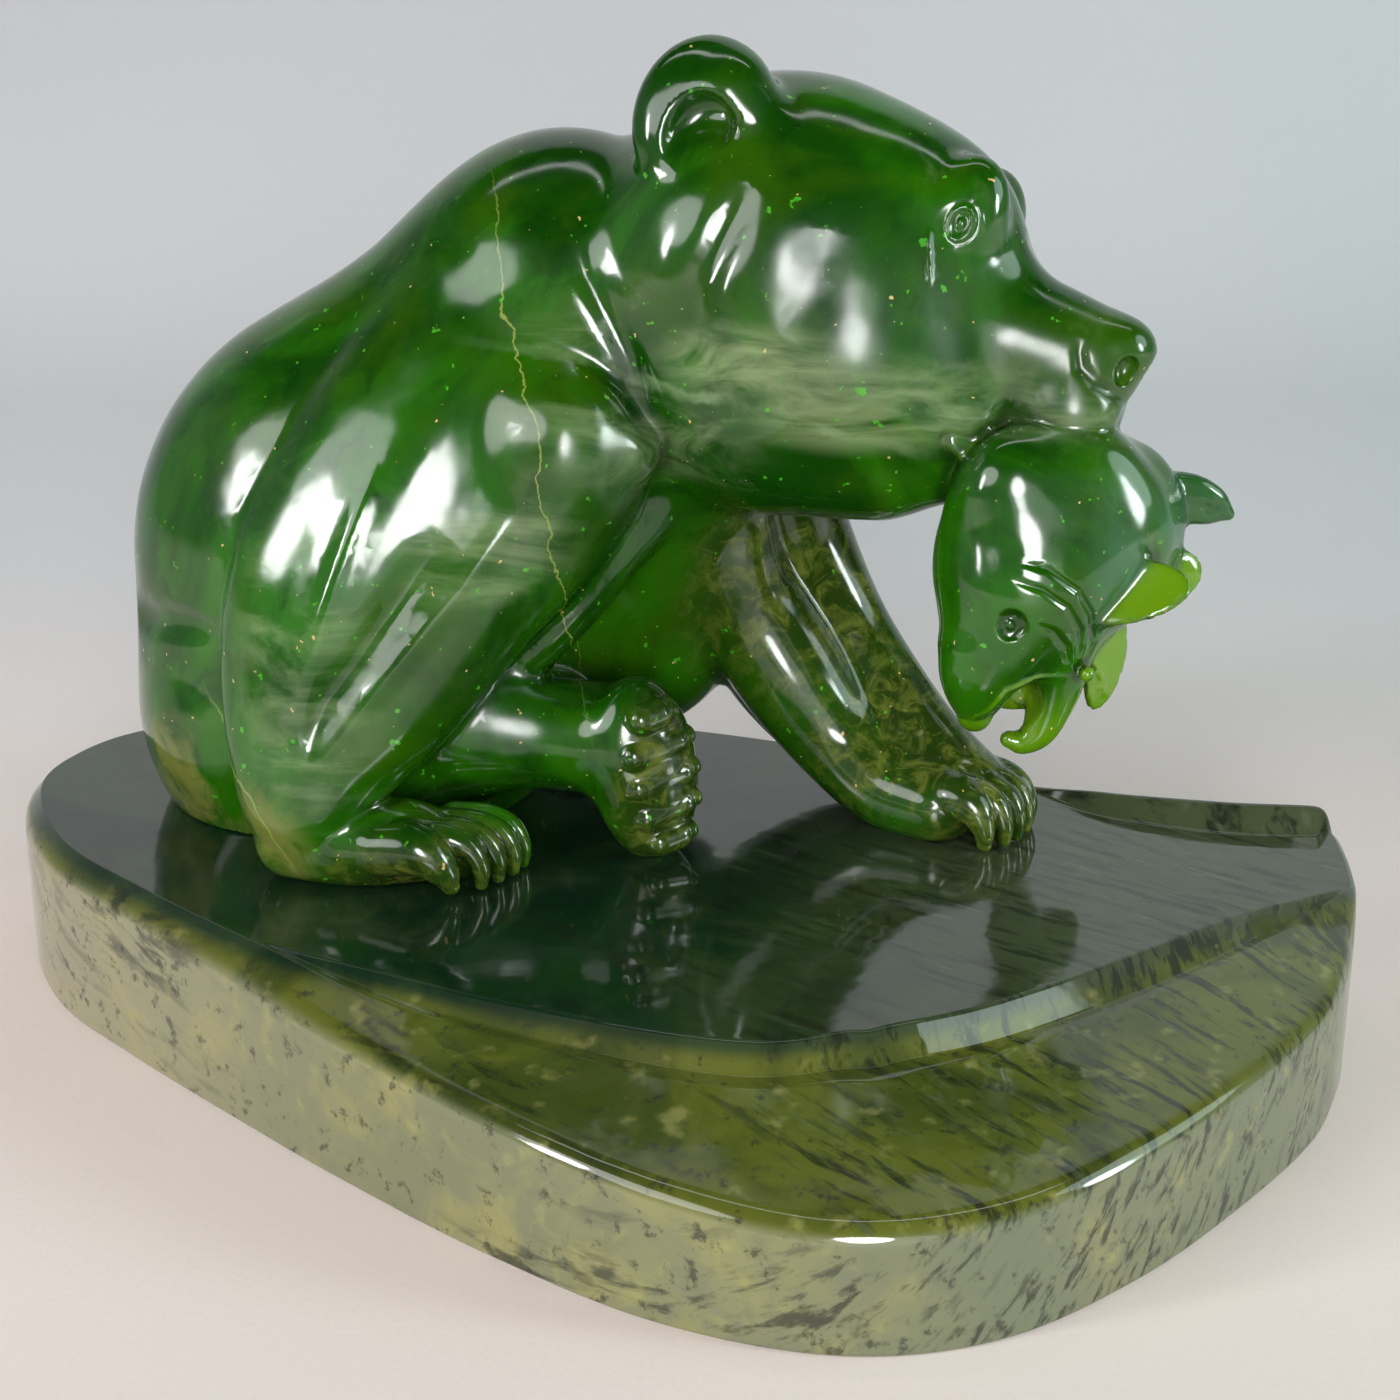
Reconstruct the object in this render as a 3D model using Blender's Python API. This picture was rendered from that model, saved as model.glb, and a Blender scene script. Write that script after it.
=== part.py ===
"""Jade carving of a bear with a salmon in its mouth, standing on a cut jade block.

Two pieces: bear_and_salmon, one stone, and the plinth it stands on.
The numbers in the shapes are millimetres; the meshes are turned to metres at the end.
The bear faces +X and turns its head towards -Y, the near side. Z = 0 is the plinth's underside.
"""
import bpy
import numpy as np

GROUND = 38.0                 # height of the plinth's polished top
GAP = 0.3                     # clearance between the carving and the plinth
GRID = 1.2                    # spacing of the grid the carving is skinned on
BEAR_TRIANGLES = 8300
BOX_LOW, BOX_HIGH = (-132, -14, 34), (116, 110, 214)
CENTRE = (-7.4, -1.9, 0)      # middle of the plinth's underside, made the origin
BLOCK = 6                     # grid points along one block of the field
FAR = 24.0                    # distance past which a shape has no say
HEAD_CENTRE = np.array([24.0, 38.0, 165.0])
HEAD_TURN, HEAD_BOW, HEAD_TILT = 18.0, 12.0, 15.0

# Round the plinth, from the left corner by the front: x and y of the wall, height of the
# wall, run of the slope above it, height and width of the ledge, run of the rise to the top.
NONE = 0.5
PLINTH_EDGE = (
    (-152, 52, 33.5, 4.0, 38, NONE, NONE), (-140, 22, 33.5, 4.5, 38, NONE, NONE),
    (-119, -2, 33.5, 5.2, 38, NONE, NONE), (-95, -26, 33, 6.5, 38, NONE, NONE),
    (-70, -50, 31.5, 11, 35.5, 2, 3), (-40, -76, 29.5, 20, 33.5, 3, 4),
    (-8, -98, 27, 29, 33, 4, 4.5), (24, -108, 25, 38, 32.8, 5, 4.5),
    (53, -103, 26, 39, 32.8, 4.5, 4.5), (80, -84, 27.5, 34, 33, 4, 5),
    (103, -60, 28, 28, 33, 3.5, 5), (121, -37, 28.5, 22, 33.3, 3, 5),
    (130, -18, 29.5, 15, 34, 2, 4), (134, -6, 32, 8, 36, 1, 2),
    (136, 4, 37, 1.2, 38, NONE, NONE), (137.5, 18, 37, 1.2, 38, NONE, NONE),
    (137.5, 30, 37, 1.2, 38, NONE, NONE), (133, 33, 42.6, 0.5, 43, 1, 4),
    (112, 36, 42.3, 0.5, 42.8, 1, 5), (90, 44, 41, 0.5, 41.5, 1, 4),
    (70, 58, 37.6, 0.5, 38.1, 0.8, 1), (38, 75, 37, 1.2, 38, NONE, NONE),
    (0, 90, 37, 1.2, 38, NONE, NONE), (-45, 101, 37, 1.2, 38, NONE, NONE),
    (-95, 104, 37, 1.2, 38, NONE, NONE), (-132, 92, 36, 2, 38, NONE, NONE),
    (-149, 74, 34.5, 3.5, 38, NONE, NONE))
PLINTH_STEPS = 5              # points from one place on that edge to the next
PLINTH_FOOT = 0.8             # small chamfer round the underside


def unit(v):
    v = np.asarray(v, float)
    return v / np.linalg.norm(v)


def length(q):
    return np.sqrt(np.einsum("ij,ij->i", q, q))


def melt(a, b, soft):
    """The nearer of two distances, rounded where they are alike."""
    h = np.maximum(soft - np.abs(a - b), 0) / soft
    return np.minimum(a, b) - h * h * soft / 4


def turned(x, hint):
    """Directions with the first along x and the second towards hint."""
    x = unit(x)
    z = unit(np.cross(x, hint))
    return np.stack([x, np.cross(z, x), z], 1)


def head_axes(turn, bow, tilt):
    """The head's ahead, near side and up directions, from three angles in degrees."""
    turn, bow, tilt = np.radians((turn, bow, tilt))
    ahead = np.array([np.cos(bow) * np.cos(turn), -np.cos(bow) * np.sin(turn), -np.sin(bow)])
    side = np.array([-np.sin(turn), -np.cos(turn), 0.0])
    up = np.cross(side, ahead)
    return np.stack([ahead, side * np.cos(tilt) + up * np.sin(tilt),
                     up * np.cos(tilt) - side * np.sin(tilt)], 1)


HEAD = head_axes(HEAD_TURN, HEAD_BOW, HEAD_TILT)


def on_head(ahead, side, up):
    return HEAD_CENTRE + HEAD @ (ahead, side, up)


class Form:
    """A carved body as a distance field: shapes melt together in order, in groups."""

    def __init__(self):
        self.groups = []

    def group(self, soft):
        """Start a group that melts into the rest; one that starts with a groove works on all of it."""
        self.groups.append((soft, []))

    def add(self, kind, distance, centre, radius, soft):
        self.groups[-1][1].append((kind, distance, np.atleast_2d(centre), np.atleast_1d(radius), soft))

    def egg(self, centre, radii, soft=6.0, axes=None, kind="join"):
        """An ellipsoid, turned by axes when given."""
        centre, radii = np.asarray(centre, float), np.asarray(radii, float)

        def distance(p):
            q = p - centre if axes is None else (p - centre) @ axes
            near = length(q / radii)
            return near * (near - 1.0) / np.maximum(length(q / radii ** 2), 1e-9)
        self.add(kind, distance, centre, radii.max(), soft)

    def cone(self, start, end, r_start, r_end, soft=6.0, squeeze=1.0):
        """Two balls and the skin drawn over them; squeeze narrows it across Y."""
        start, end = np.asarray(start, float), np.asarray(end, float)
        scale = np.array([1.0, squeeze, 1.0])
        middle = np.array([0.0, (start[1] + end[1]) / 2, 0.0])
        a, b = (start - middle) * scale, (end - middle) * scale
        axis, drop = b - a, r_start - r_end
        span = axis @ axis
        slope = span - drop * drop

        def distance(p):
            q = (p - middle) * scale - a
            along = q @ axis
            beyond = along - span
            across = ((q * span - axis * along[:, None]) ** 2).sum(1)
            bend = np.sign(drop) * drop * drop * across
            tip = np.sign(beyond) * slope * beyond * beyond * span > bend
            root = np.sign(along) * slope * along * along * span < bend
            d = (np.sqrt(across * slope / span) + along * drop) / span - r_start
            d = np.where(root, np.sqrt(across + along * along * span) / span - r_start, d)
            d = np.where(tip, np.sqrt(across + beyond * beyond * span) / span - r_end, d)
            return d / (0.5 + 0.5 * squeeze)
        self.add("join", distance, (start + end) / 2,
                 np.linalg.norm(end - start) / 2 + max(r_start, r_end), soft)

    def limb(self, stations, soft=6.0, kind="join"):
        """A round tube of changing thickness on a smooth line through (x, y, z, radius)."""
        s = np.array(stations, float)
        s = np.vstack([2 * s[0] - s[1], s, 2 * s[-1] - s[-2]])
        a, b, c, d = s[:-3], s[1:-2], s[2:-1], s[3:]
        curve = 0.5 * np.stack([2 * b, c - a, 2 * a - 5 * b + 4 * c - d, 3 * b - a - 3 * c + d])
        spans, fine = len(b), 4

        def at(u):
            i = np.clip(u.astype(int), 0, spans - 1)
            t = (u - i)[:, None]
            q = curve[:, i]
            return (q[0] + t * (q[1] + t * (q[2] + t * q[3])),
                    q[1] + t * (2 * q[2] + 3 * t * q[3]), 2 * q[2] + 6 * t * q[3])
        line = at(np.arange(spans * fine + 1) / fine)[0]
        first, step = line[:-1, :3], np.diff(line[:, :3], axis=0)
        square = (step * step).sum(1)

        def distance(p):
            q = p[:, None] - first
            t = np.clip(np.einsum("nmj,mj->nm", q, step) / square, 0, 1)
            q -= t[..., None] * step
            i = np.argmin(np.einsum("nmj,nmj->nm", q, q), 1)
            u = (i + t[np.arange(len(p)), i]) / fine
            for _ in range(2):
                x, v, w = at(u)
                off = x[:, :3] - p
                vv = (v[:, :3] ** 2).sum(1)
                turn = (off * w[:, :3]).sum(1)
                u = np.clip(u - (off * v[:, :3]).sum(1) / np.maximum(vv + turn, 0.4 * vv), 0, spans)
            x = at(u)[0]
            return length(x[:, :3] - p) - x[:, 3]
        reach = np.sqrt(square.max()) / 2
        self.add(kind, distance, line[:, :3], line[:, 3] + reach, soft)

    def leaf(self, root, tip, facing, width, thick, cup=0.0, curl=0.0, soft=1.5):
        """A fin: a flat oval from root to tip, cupped across and curled along its length."""
        root, tip = np.asarray(root, float), np.asarray(tip, float)
        centre, half = (root + tip) / 2, np.linalg.norm(tip - root) / 2
        x = unit(tip - root)
        n = unit(np.asarray(facing, float) - (np.asarray(facing, float) @ x) * x)
        axes = np.stack([x, np.cross(n, x), n], 1)
        radii = np.array([half, width / 2, thick / 2])

        def distance(p):
            q = (p - centre) @ axes
            lean = np.sqrt(1 + (2 * cup * q[:, 1]) ** 2 + (2 * curl * q[:, 0]) ** 2)
            q[:, 2] -= cup * q[:, 1] ** 2 + curl * q[:, 0] ** 2
            near = length(q / radii)
            return near * (near - 1) / np.maximum(length(q / radii ** 2), 1e-9) / lean
        self.add("join", distance, centre, half + 5, soft)

    def groove(self, points, depth, width, through=None):
        """Press a line into the surface, or raise it where depth is negative, along through."""
        points = np.array(points, float)
        flat = np.eye(3) if through is None else np.eye(3) - np.outer(unit(through), unit(through))
        line = points @ flat
        starts = np.append(0, np.cumsum(length(np.diff(line, axis=0))))
        open_ended = length(line[:1] - line[-1:])[0] > 0.01
        centre = (points.min(0) + points.max(0)) / 2
        radius = np.linalg.norm(points - centre, axis=1).max() + 3 * width + 1

        def distance(p):
            best, run, q = np.full(len(p), 1e9), np.zeros(len(p)), p @ flat
            for start, a, b in zip(starts, line[:-1], line[1:]):
                t = np.clip((q - a) @ (b - a) / ((b - a) @ (b - a)), 0, 1)
                away = length(q - a - t[:, None] * (b - a))
                run = np.where(away < best, start + t * np.linalg.norm(b - a), run)
                best = np.minimum(best, away)
            ends = np.clip(np.minimum(run, starts[-1] - run) / (0.3 * starts[-1]), 0, 1)
            taper = 1 - (1 - ends) ** 2 if open_ended else 1.0
            near = np.exp(-(length(p - centre) / radius) ** 8)
            return depth * taper * near * np.exp(-(best / width) ** 2)
        self.add("press", distance, centre, 1.25 * radius, 0.0)

    def value(self, p, centre, radius):
        """Distance at points p, all within radius of centre; shapes too far to matter are skipped."""
        total = None
        for group_soft, shapes in self.groups:
            over_all = shapes[0][0] == "press"
            reach = group_soft + max(shape[-1] for shape in shapes)
            d = total if over_all else None
            for kind, distance, at, size, soft in shapes:
                gap = (length(at - centre) - size).min() - radius
                if kind == "press":
                    if gap < 0 and d is not None:
                        d = d + distance(p)
                elif kind == "cut":
                    if gap < soft + 1 and d is not None:
                        d = -melt(-d, distance(p), soft)
                elif d is None:
                    if gap < FAR and (total is None or gap < total.max() + reach):
                        d = distance(p)
                elif gap < min(FAR, d.max() + soft):
                    d = melt(d, distance(p), soft)
            if d is not None:
                total = d if total is None or over_all else melt(total, d, group_soft)
        return np.full(len(p), FAR) if total is None else total


def torso(m):
    """Rump, back, hump, neck root, chest and belly."""
    m.group(4)
    m.cone((-80, 54, 60), (-70, 54, 92), 44, 52, 12, 1.3)
    m.cone((-66, 54, 104), (-42, 52, 130), 47, 40, 12, 1.3)
    m.egg((-29, 52, 152), (30, 26, 32), 12)
    m.cone((-22, 50, 146), (4, 44, 144), 32, 34, 14, 1.15)
    m.cone((-14, 58, 110), (-12, 62, 78), 27, 22, 14)
    m.cone((-70, 56, 62), (-20, 66, 68), 30, 18, 16)
    m.groove([(-123, 44, 82), (-112, 32, 86), (-98, 22, 88)], 2.2, 4.0)


def head(m):
    """Skull, cheeks, muzzle and jaw, worked in the head's own directions."""
    m.group(5)
    m.egg(on_head(-3, 0, 0), (34, 28, 32), 8, HEAD)
    m.egg(on_head(19, 0, 5), (22, 20, 21.4), 10, HEAD)
    for s in (1, -1):
        m.egg(on_head(9, 17 * s, -15), (23, 12.5, 19), 10, HEAD)
    m.cone(on_head(22, 0, -8), on_head(58, 0, -9), 18, 12, 10)
    m.cone(on_head(4, 0, -36), on_head(24, 0, -38), 18, 13, 10)
    m.cone(on_head(20, 0, -36), on_head(44, 0, -34), 13, 8, 6)
    m.cone(on_head(-16, 0, -8), on_head(-2, 0, -28), 30, 24, 14)
    for s in (1, -1):
        m.cone(on_head(16, 10 * s, -22), on_head(37, 8 * s, -25), 16, 9.5, 8)
        m.egg(on_head(58.6, 5.2 * s, -18.2), (9.8, 8.0, 8.4), 4, HEAD)
    m.egg(on_head(64.2, 0.8, -4.4), (7.6, 8.4, 6.6), 2.0, HEAD)
    for s in (1, -1):
        eye, out = on_head(30.2, 18.6 * s, 10), HEAD[:, 1] * s
        m.egg(on_head(29.4, 12.2 * s, 12.6), (8.2, 6.8, 11.2), 3.2, HEAD)
        m.egg(eye + 3.9 * out, (4.6, 4.0, 6.2), 1.0, HEAD, "cut")
        m.egg(eye - 0.6 * out, (2.2, 1.6, 3.0), 0.3, HEAD)
        m.groove([on_head(8, 31 * s, 2), on_head(8, 31 * s, -10), on_head(6, 30 * s, -20)], 0.7, 5.0)
    m.egg(on_head(67.4, 7.0, -8.4), (2.3, 2.6, 3.0), 0.8, HEAD, "cut")
    m.egg(on_head(71.2, 0.2, -6.6), (2.4, 1.9, 2.6), 0.8, HEAD, "cut")
    m.egg(on_head(66.5, -6.4, -7.6), (2.3, 2.6, 3.0), 0.8, HEAD, "cut")
    m.groove([on_head(40, 0, 12), on_head(52, 0, 7)], 0.6, 2.5)


def ears(m):
    """A thick rounded shell each, hollowed low down, with a round swelling in the hollow."""
    m.group(3)
    for s in (1, -1):
        axes = turned(HEAD @ (0.30, 0.94 * s, 0.12), HEAD @ (0.9, -0.3 * s, 0))
        base = on_head(-25, 20.5 * s, 14.7 + s)
        m.egg(base, (7.0, 13.0, 16.4), 4, axes)
        m.cone(on_head(-20, 21 * s, 22), on_head(-6, 19.5 * s, 14), 6.8, 4.5, 8)
        m.egg(base + axes @ (8.2, 0.6, 0) - 5.0 * HEAD[:, 2], (4.8, 7.2, 9.0), 1.6, axes, "cut")
        m.egg(base + axes @ (3.2, 0.8, 0) - 8.8 * HEAD[:, 2], (3.0, 4.6, 4.6), 2.0, axes)


def near_arm(m):
    """Four long muscle ridges run from the shoulder together to the wrist."""
    m.group(1.6)
    m.limb([(-52, 44, 150, 12), (-70, 30, 128, 12), (-84, 22, 104, 11), (-89, 18, 78, 10),
            (-87, 12, 58, 9), (-82, 9, 48, 8.5)], 5)
    m.limb([(-44, 44, 148, 18), (-60, 24, 122, 14.5), (-72, 13, 98, 11), (-80, 9, 74, 8.5),
            (-82, 7, 56, 7.5)], 10)
    m.limb([(-38, 46, 146, 24), (-48, 29, 120, 19.5), (-61, 17.5, 96, 14.5), (-73, 12, 74, 10),
            (-80, 9, 55, 8)], 8)
    m.limb([(-33, 44, 138, 24), (-34, 30, 118, 22), (-49, 19, 94, 16), (-63, 11, 73, 12),
            (-76, 7.5, 57, 8.5)], 7)
    m.groove([(-50, 6, 112), (-54, 6, 107), (-64, 5, 93), (-74.5, 3, 79), (-80, 3, 68)], 1.4, 3.2,
             (0, 1, -0.38))
    m.groove([(-63, 5, 128), (-66.5, 5, 120.7), (-75.4, 2, 96.2), (-80.4, 0, 76.1), (-82.4, 0, 59.4)],
             -0.9, 2.2, (0, 1, -0.38))
    m.groove([(-34.3, 5, 120.7), (-47.2, 0, 103.2), (-62.8, -2, 85), (-78.8, -1, 63.1)],
             -0.9, 2.2, (0, 1, -0.38))
    m.egg((-27, 25, 126), (16, 20, 20), 6)
    m.cone((-26, 26, 128), (-14, 20, 127), 13, 6, 6)
    m.limb([(-84, 9, 46, 8.6), (-72, 6.5, 46.5, 9.6), (-60, 7, 46, 8.8), (-51, 8, 44, 6.5)], 1.2)
    m.limb([(-66, 1.5, 47, 6.0), (-59, -1, 48, 5.8), (-55, -2.4, 46.6, 4.8), (-52.2, -3, 43.4, 3.4),
            (-51, -2.8, 40.4, 2.0)], 0.8)
    for x, y in ((-45, 0.4), (-41.8, 3.8), (-39, 7.4), (-37.2, 11.2)):
        claw(m, x, y, (-1.0, 0.08))
    m.limb([(-8, 34, 114, 7), (-19, 28, 100, 6), (-30, 26, 86, 5), (-42, 27, 74, 4)], 3)


def claw(m, x, y, back):
    """One toe and its long curved claw, from the tip on the ground back along the paw."""
    steps = ((0, 39.4, 1.5), (0.2, 43.2, 2.2), (2.4, 47.2, 2.6), (7, 49.3, 2.9), (14, 49.0, 3.6))
    m.limb([(x + back[0] * run, y + back[1] * run, z, r) for run, z, r in steps], 0.7)


def far_arm(m):
    """The other arm reaches out under the head; its five claws rest on the ground."""
    m.group(3)
    m.limb([(-2, 68, 108, 24), (12, 66, 86, 19), (21, 60, 68, 16.5), (32, 52, 56, 14),
            (42, 43, 49, 11.5), (54, 33, 46, 9.5)], 6)
    m.limb([(2, 52, 102, 12), (10, 51, 84, 12.5), (20, 47, 68, 12), (30, 43, 55, 10.5),
            (40, 36, 47, 9.5), (50, 29, 45, 8.5)], 3)
    m.limb([(16, 62, 106, 14), (22, 62, 92, 12.5), (31, 59, 76, 10.5), (40, 52, 64, 9.5),
            (49, 43, 54, 9), (60, 34, 46, 8)], 3)
    m.limb([(8, 46, 104, 7), (9, 45.5, 94, 7.5), (12, 45, 84, 6)], 3)
    m.limb([(-26, 68, 138, 24), (-8, 77, 112, 20), (8, 74, 90, 17), (18, 66, 76, 15)], 6)
    m.limb([(50, 30, 47.5, 6.5), (55.5, 24.5, 48, 5.4), (58.6, 21.6, 46.4, 4.0), (60.2, 20.2, 42.8, 2.6),
            (60.5, 19.8, 39.4, 1.7)], 0.8)
    for x, y in ((64.8, 21.6), (67.8, 25), (70, 28.9), (71.2, 33)):
        claw(m, x, y, (-0.74, 0.46))


def hind_leg(m):
    """The near hind leg, stretched forward with its sole turned to the front."""
    m.group(3)
    m.cone((-70, 40, 62), (-46, 30, 64), 26, 14, 12)
    m.egg((-97, 44, 61), (23, 23, 25), 8)
    m.limb([(-46, 30, 64, 13.5), (-32, 26, 63, 12), (-20, 24, 62, 12)], 8)
    sole, up = unit((0.55, -0.83, 0.05)), unit((-0.14, -0.05, 1.0))
    axes = np.stack([unit(np.cross(up, sole)), up, sole], 1)
    foot = np.array([-11.8, 20.0, 57.0])
    m.egg(foot, (12, 20.8, 9.2), 4, axes)
    for height, width in ((13.6, 5.4), (6.4, 8.4), (-0.8, 8.6), (-7.8, 7.8), (-14.6, 5.6)):
        m.cone(foot + axes @ (3.4 - width, height, 5.9), foot + axes @ (width - 3.4, height, 5.9),
               3.3, 3.2, 0.6)
        m.egg(foot + axes @ (width - 0.6, height + 0.4, 5.6), (1.9, 2.2, 3.2), 0.5, axes)


def far_leg(m):
    """The other hind leg: a folded thigh and a foot flat on the ground."""
    m.group(3)
    m.egg((-66, 82, 74), (36, 20, 34), 4)
    m.limb([(-88, 84, 50, 11), (-62, 88, 49, 10.5), (-38, 89, 49, 9.5)], 3)
    for y in (82.5, 87, 91.5, 95.5):
        m.limb([(-40, y, 49, 5.2), (-31, y, 48.5, 4.2), (-25, y, 44, 2.8), (-23.5, y, 40, 1.8)], 0.7)


def salmon(m):
    """The fish bent over the jaw: head down in front, tail behind the far cheek."""
    m.group(1.2)
    m.limb([(72, 12, 122, 13), (72.5, 11, 116, 14.5), (73, 10, 110, 15)], 6)
    m.egg((70.5, 8, 111), (23, 12.5, 23), 6)
    m.egg((84, 18, 111), (14, 12, 18), 5)
    m.egg((61.2, 5, 121.6), (11, 9.6, 12.2), 5)
    m.cone((64, 6, 102), (57, 1, 87), 16, 9, 8)
    m.limb([(56, 1, 90, 8), (54.8, 0, 82, 5.6), (55, 0, 77, 3.6)], 3)
    m.limb([(71, 4, 93, 9), (71.2, 3.6, 84, 6.4), (70.2, 3.2, 77.5, 4.8), (68.4, 2.8, 72.4, 3.6),
            (65.2, 2.6, 70, 2.6), (62.4, 2.4, 70.6, 1.8)], 3)
    m.egg((63.5, 7.5, 81), (7, 2.8, 6), 2)
    m.egg((64.2, -1.5, 79.6), (3.9, 6.5, 5.4), 1.2, None, "cut")
    m.egg((60.2, -9.4, 99), (3.2, 1.4, 3.4), 0.5, None, "cut")
    m.egg((60.3, -7.2, 98.8), (1.5, 1.5, 1.7), 0.3)
    m.egg((76.6, -3.4, 86.8), (1.5, 1.5, 1.5), 0.5)
    m.limb([(72, 14, 122, 12), (68, 34, 122, 14), (71, 54, 113, 12), (74, 66, 101, 7.5),
            (76, 71, 93, 4.6)], 6)
    m.leaf((75, 69, 97), (90, 84, 84), (0.35, -0.65, -0.3), 15, 3.4, 0.01, 0.004)
    m.leaf((75, 69, 96), (74, 80, 72), (0.35, -0.65, -0.3), 15, 3.4, 0.01, 0.004)
    m.leaf((64, 50, 124), (62, 62, 128), (0.9, 0.2, 0.2), 14, 3.2)
    m.leaf((54, 8, 128), (50, 9, 136), (0.6, -0.7, 0), 9, 3.4, 0, 0, 2)
    m.leaf((72, 1, 100), (95.5, -5, 106), (-0.3, -0.8, 0.5), 12.8, 3.6, 0.04, 0.0, 1.5)
    m.limb([(76, -1, 96, 1.6), (83, -3.4, 99, 1.5), (89.5, -4.8, 101.4, 1.3), (94, -5.4, 104.2, 0.9)], 0.8)
    m.leaf((90, 19, 118), (108.5, 21, 113.2), (0.2, -0.7, 0.65), 10, 3.6, -0.05, -0.025, 2)
    m.egg((98, 20, 116.8), (4.4, 2.6, 3.6), 2.5)
    m.leaf((90, 12, 102.4), (101.6, 15, 101.6), (-0.1, -0.95, 0.1), 10.5, 3.2, 0.0, 0.0, 1.5)
    m.leaf((82.5, 9, 98), (80.6, 9, 74.4), (0.6, -0.75, 0.1), 11.5, 3.4, 0.03, 0.0, 1.5)


def creases(m):
    """Where the neck meets the cheeks and the near shoulder."""
    m.group(0)
    for s in (1, -1):
        m.groove([on_head(-9, 29 * s, 6), on_head(-11, 31 * s, -4), on_head(-13, 31 * s, -14),
                  on_head(-13, 29 * s, -22), on_head(-11, 26 * s, -31)], 1.8, 4.0)
    m.groove([(-25, 23, 170), (-22, 21, 161), (-18, 19, 154), (-14, 18, 146), (-12, 17, 139),
              (-10, 16, 131), (-8, 16, 122)], 1.5, 2.4)


def bear():
    """The whole carving above the ground it sits on."""
    m = Form()
    for part in (torso, head, ears, near_arm, far_arm, hind_leg, far_leg, salmon, creases):
        part(m)
    return m


def sample(form, low, high, step):
    """Field values on a grid; blocks the surface cannot reach keep one value."""
    low = np.array(low, float)
    count = np.ceil((np.array(high) - low) / step / BLOCK).astype(int)
    size = BLOCK * step
    cells = np.stack(np.meshgrid(*[np.arange(n) for n in count], indexing="ij"), -1)
    inner = np.stack(np.meshgrid(*[np.arange(BLOCK)] * 3, indexing="ij"), -1).reshape(-1, 3) * step
    middle = low + cells * size + (BLOCK - 1) * step / 2
    rough = np.empty(tuple(count), np.float32)
    for i, j, k in np.ndindex(*(-(-count // 4))):
        part = (slice(4 * i, 4 * i + 4), slice(4 * j, 4 * j + 4), slice(4 * k, 4 * k + 4))
        p = middle[part].reshape(-1, 3)
        c = (p.min(0) + p.max(0)) / 2
        rough[part] = form.value(p, c, length(p - c).max()).reshape(rough[part].shape)
    half = size * np.sqrt(3) / 2
    grid = np.repeat(np.repeat(np.repeat(rough, BLOCK, 0), BLOCK, 1), BLOCK, 2)
    for i, j, k in np.argwhere(np.abs(rough) < 1.35 * half + 1):
        value = form.value(low + np.array([i, j, k]) * size + inner, middle[i, j, k], half)
        block = tuple(slice(BLOCK * n, BLOCK * n + BLOCK) for n in (i, j, k))
        grid[block] = value.reshape(BLOCK, BLOCK, BLOCK)
    return grid


def joined(grid):
    """Fill grid points that touch the stone only across a diagonal, so the skin closes cleanly."""
    corners = np.array(list(np.ndindex(2, 2, 2)))
    while True:
        inside = grid < 0
        fill = np.zeros(grid.shape, bool)
        for axis in range(3):
            view, mark = np.moveaxis(inside, axis, 0), np.moveaxis(fill, axis, 0)
            a, b, c, d = view[:, :-1, :-1], view[:, 1:, :-1], view[:, :-1, 1:], view[:, 1:, 1:]
            cross = (a == d) & (b == c) & (a != b)
            mark[:, :-1, :-1] |= cross & ~a
            mark[:, 1:, :-1] |= cross & ~b
            mark[:, :-1, 1:] |= cross & ~c
            mark[:, 1:, 1:] |= cross & ~d
        views = [tuple(slice(c, n - 1 + c) for c, n in zip(corner, grid.shape)) for corner in corners]
        count = sum(inside[view].astype(int) for view in views)
        for near, far in zip(views[:4], views[:3:-1]):
            only = (count == 2) & inside[near] & inside[far]
            hole = (count == 6) & ~inside[near] & ~inside[far]
            for view in views:
                fill[view] |= (only | hole) & ~inside[view]
        if not fill.any():
            return grid
        grid = np.where(fill, np.minimum(grid, -0.02), grid)


def skin(grid, low, step):
    """Surface nets: a vertex in each cell the surface crosses, a quad on each crossed edge."""
    inside = grid < 0
    cells = [slice(0, n - 1) for n in grid.shape]
    corners = np.array(list(np.ndindex(2, 2, 2)))
    count = sum(inside[tuple(slice(c, n - 1 + c) for c, n in zip(corner, grid.shape))].astype(int)
                for corner in corners)
    crossed = (count > 0) & (count < 8)
    at = np.argwhere(crossed)
    number = -np.ones(crossed.shape, int)
    number[crossed] = np.arange(len(at))
    corner_value = [grid[tuple((at + corner).T)].astype(float) for corner in corners]
    total, hits = np.zeros((len(at), 3)), np.zeros(len(at))
    for i, a in enumerate(corners):
        for j, b in enumerate(corners):
            if i < j and abs(a - b).sum() == 1:
                va, vb = corner_value[i], corner_value[j]
                cut = (va < 0) != (vb < 0)
                t = np.where(cut, va / np.where(cut, va - vb, 1), 0)
                total += cut[:, None] * (a + t[:, None] * (b - a))
                hits += cut
    verts = low + (at + total / hits[:, None]) * step
    quads = []
    for axis in range(3):
        here = [slice(1, n - 1) for n in grid.shape]
        there = list(here)
        here[axis] = slice(0, grid.shape[axis] - 1)
        there[axis] = slice(1, grid.shape[axis])
        first = inside[tuple(here)]
        cut = np.argwhere(first != inside[tuple(there)])
        outward = first[tuple(cut.T)]
        base = cut + 1
        base[:, axis] -= 1
        u, v = np.eye(3, dtype=int)[(axis + 1) % 3], np.eye(3, dtype=int)[(axis + 2) % 3]
        quad = np.stack([number[tuple((base - d).T)] for d in (u + v, v, 0 * u, u)], 1)
        quad[~outward] = quad[~outward][:, ::-1]
        quads.append(quad)
    return verts, np.concatenate(quads)


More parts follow.
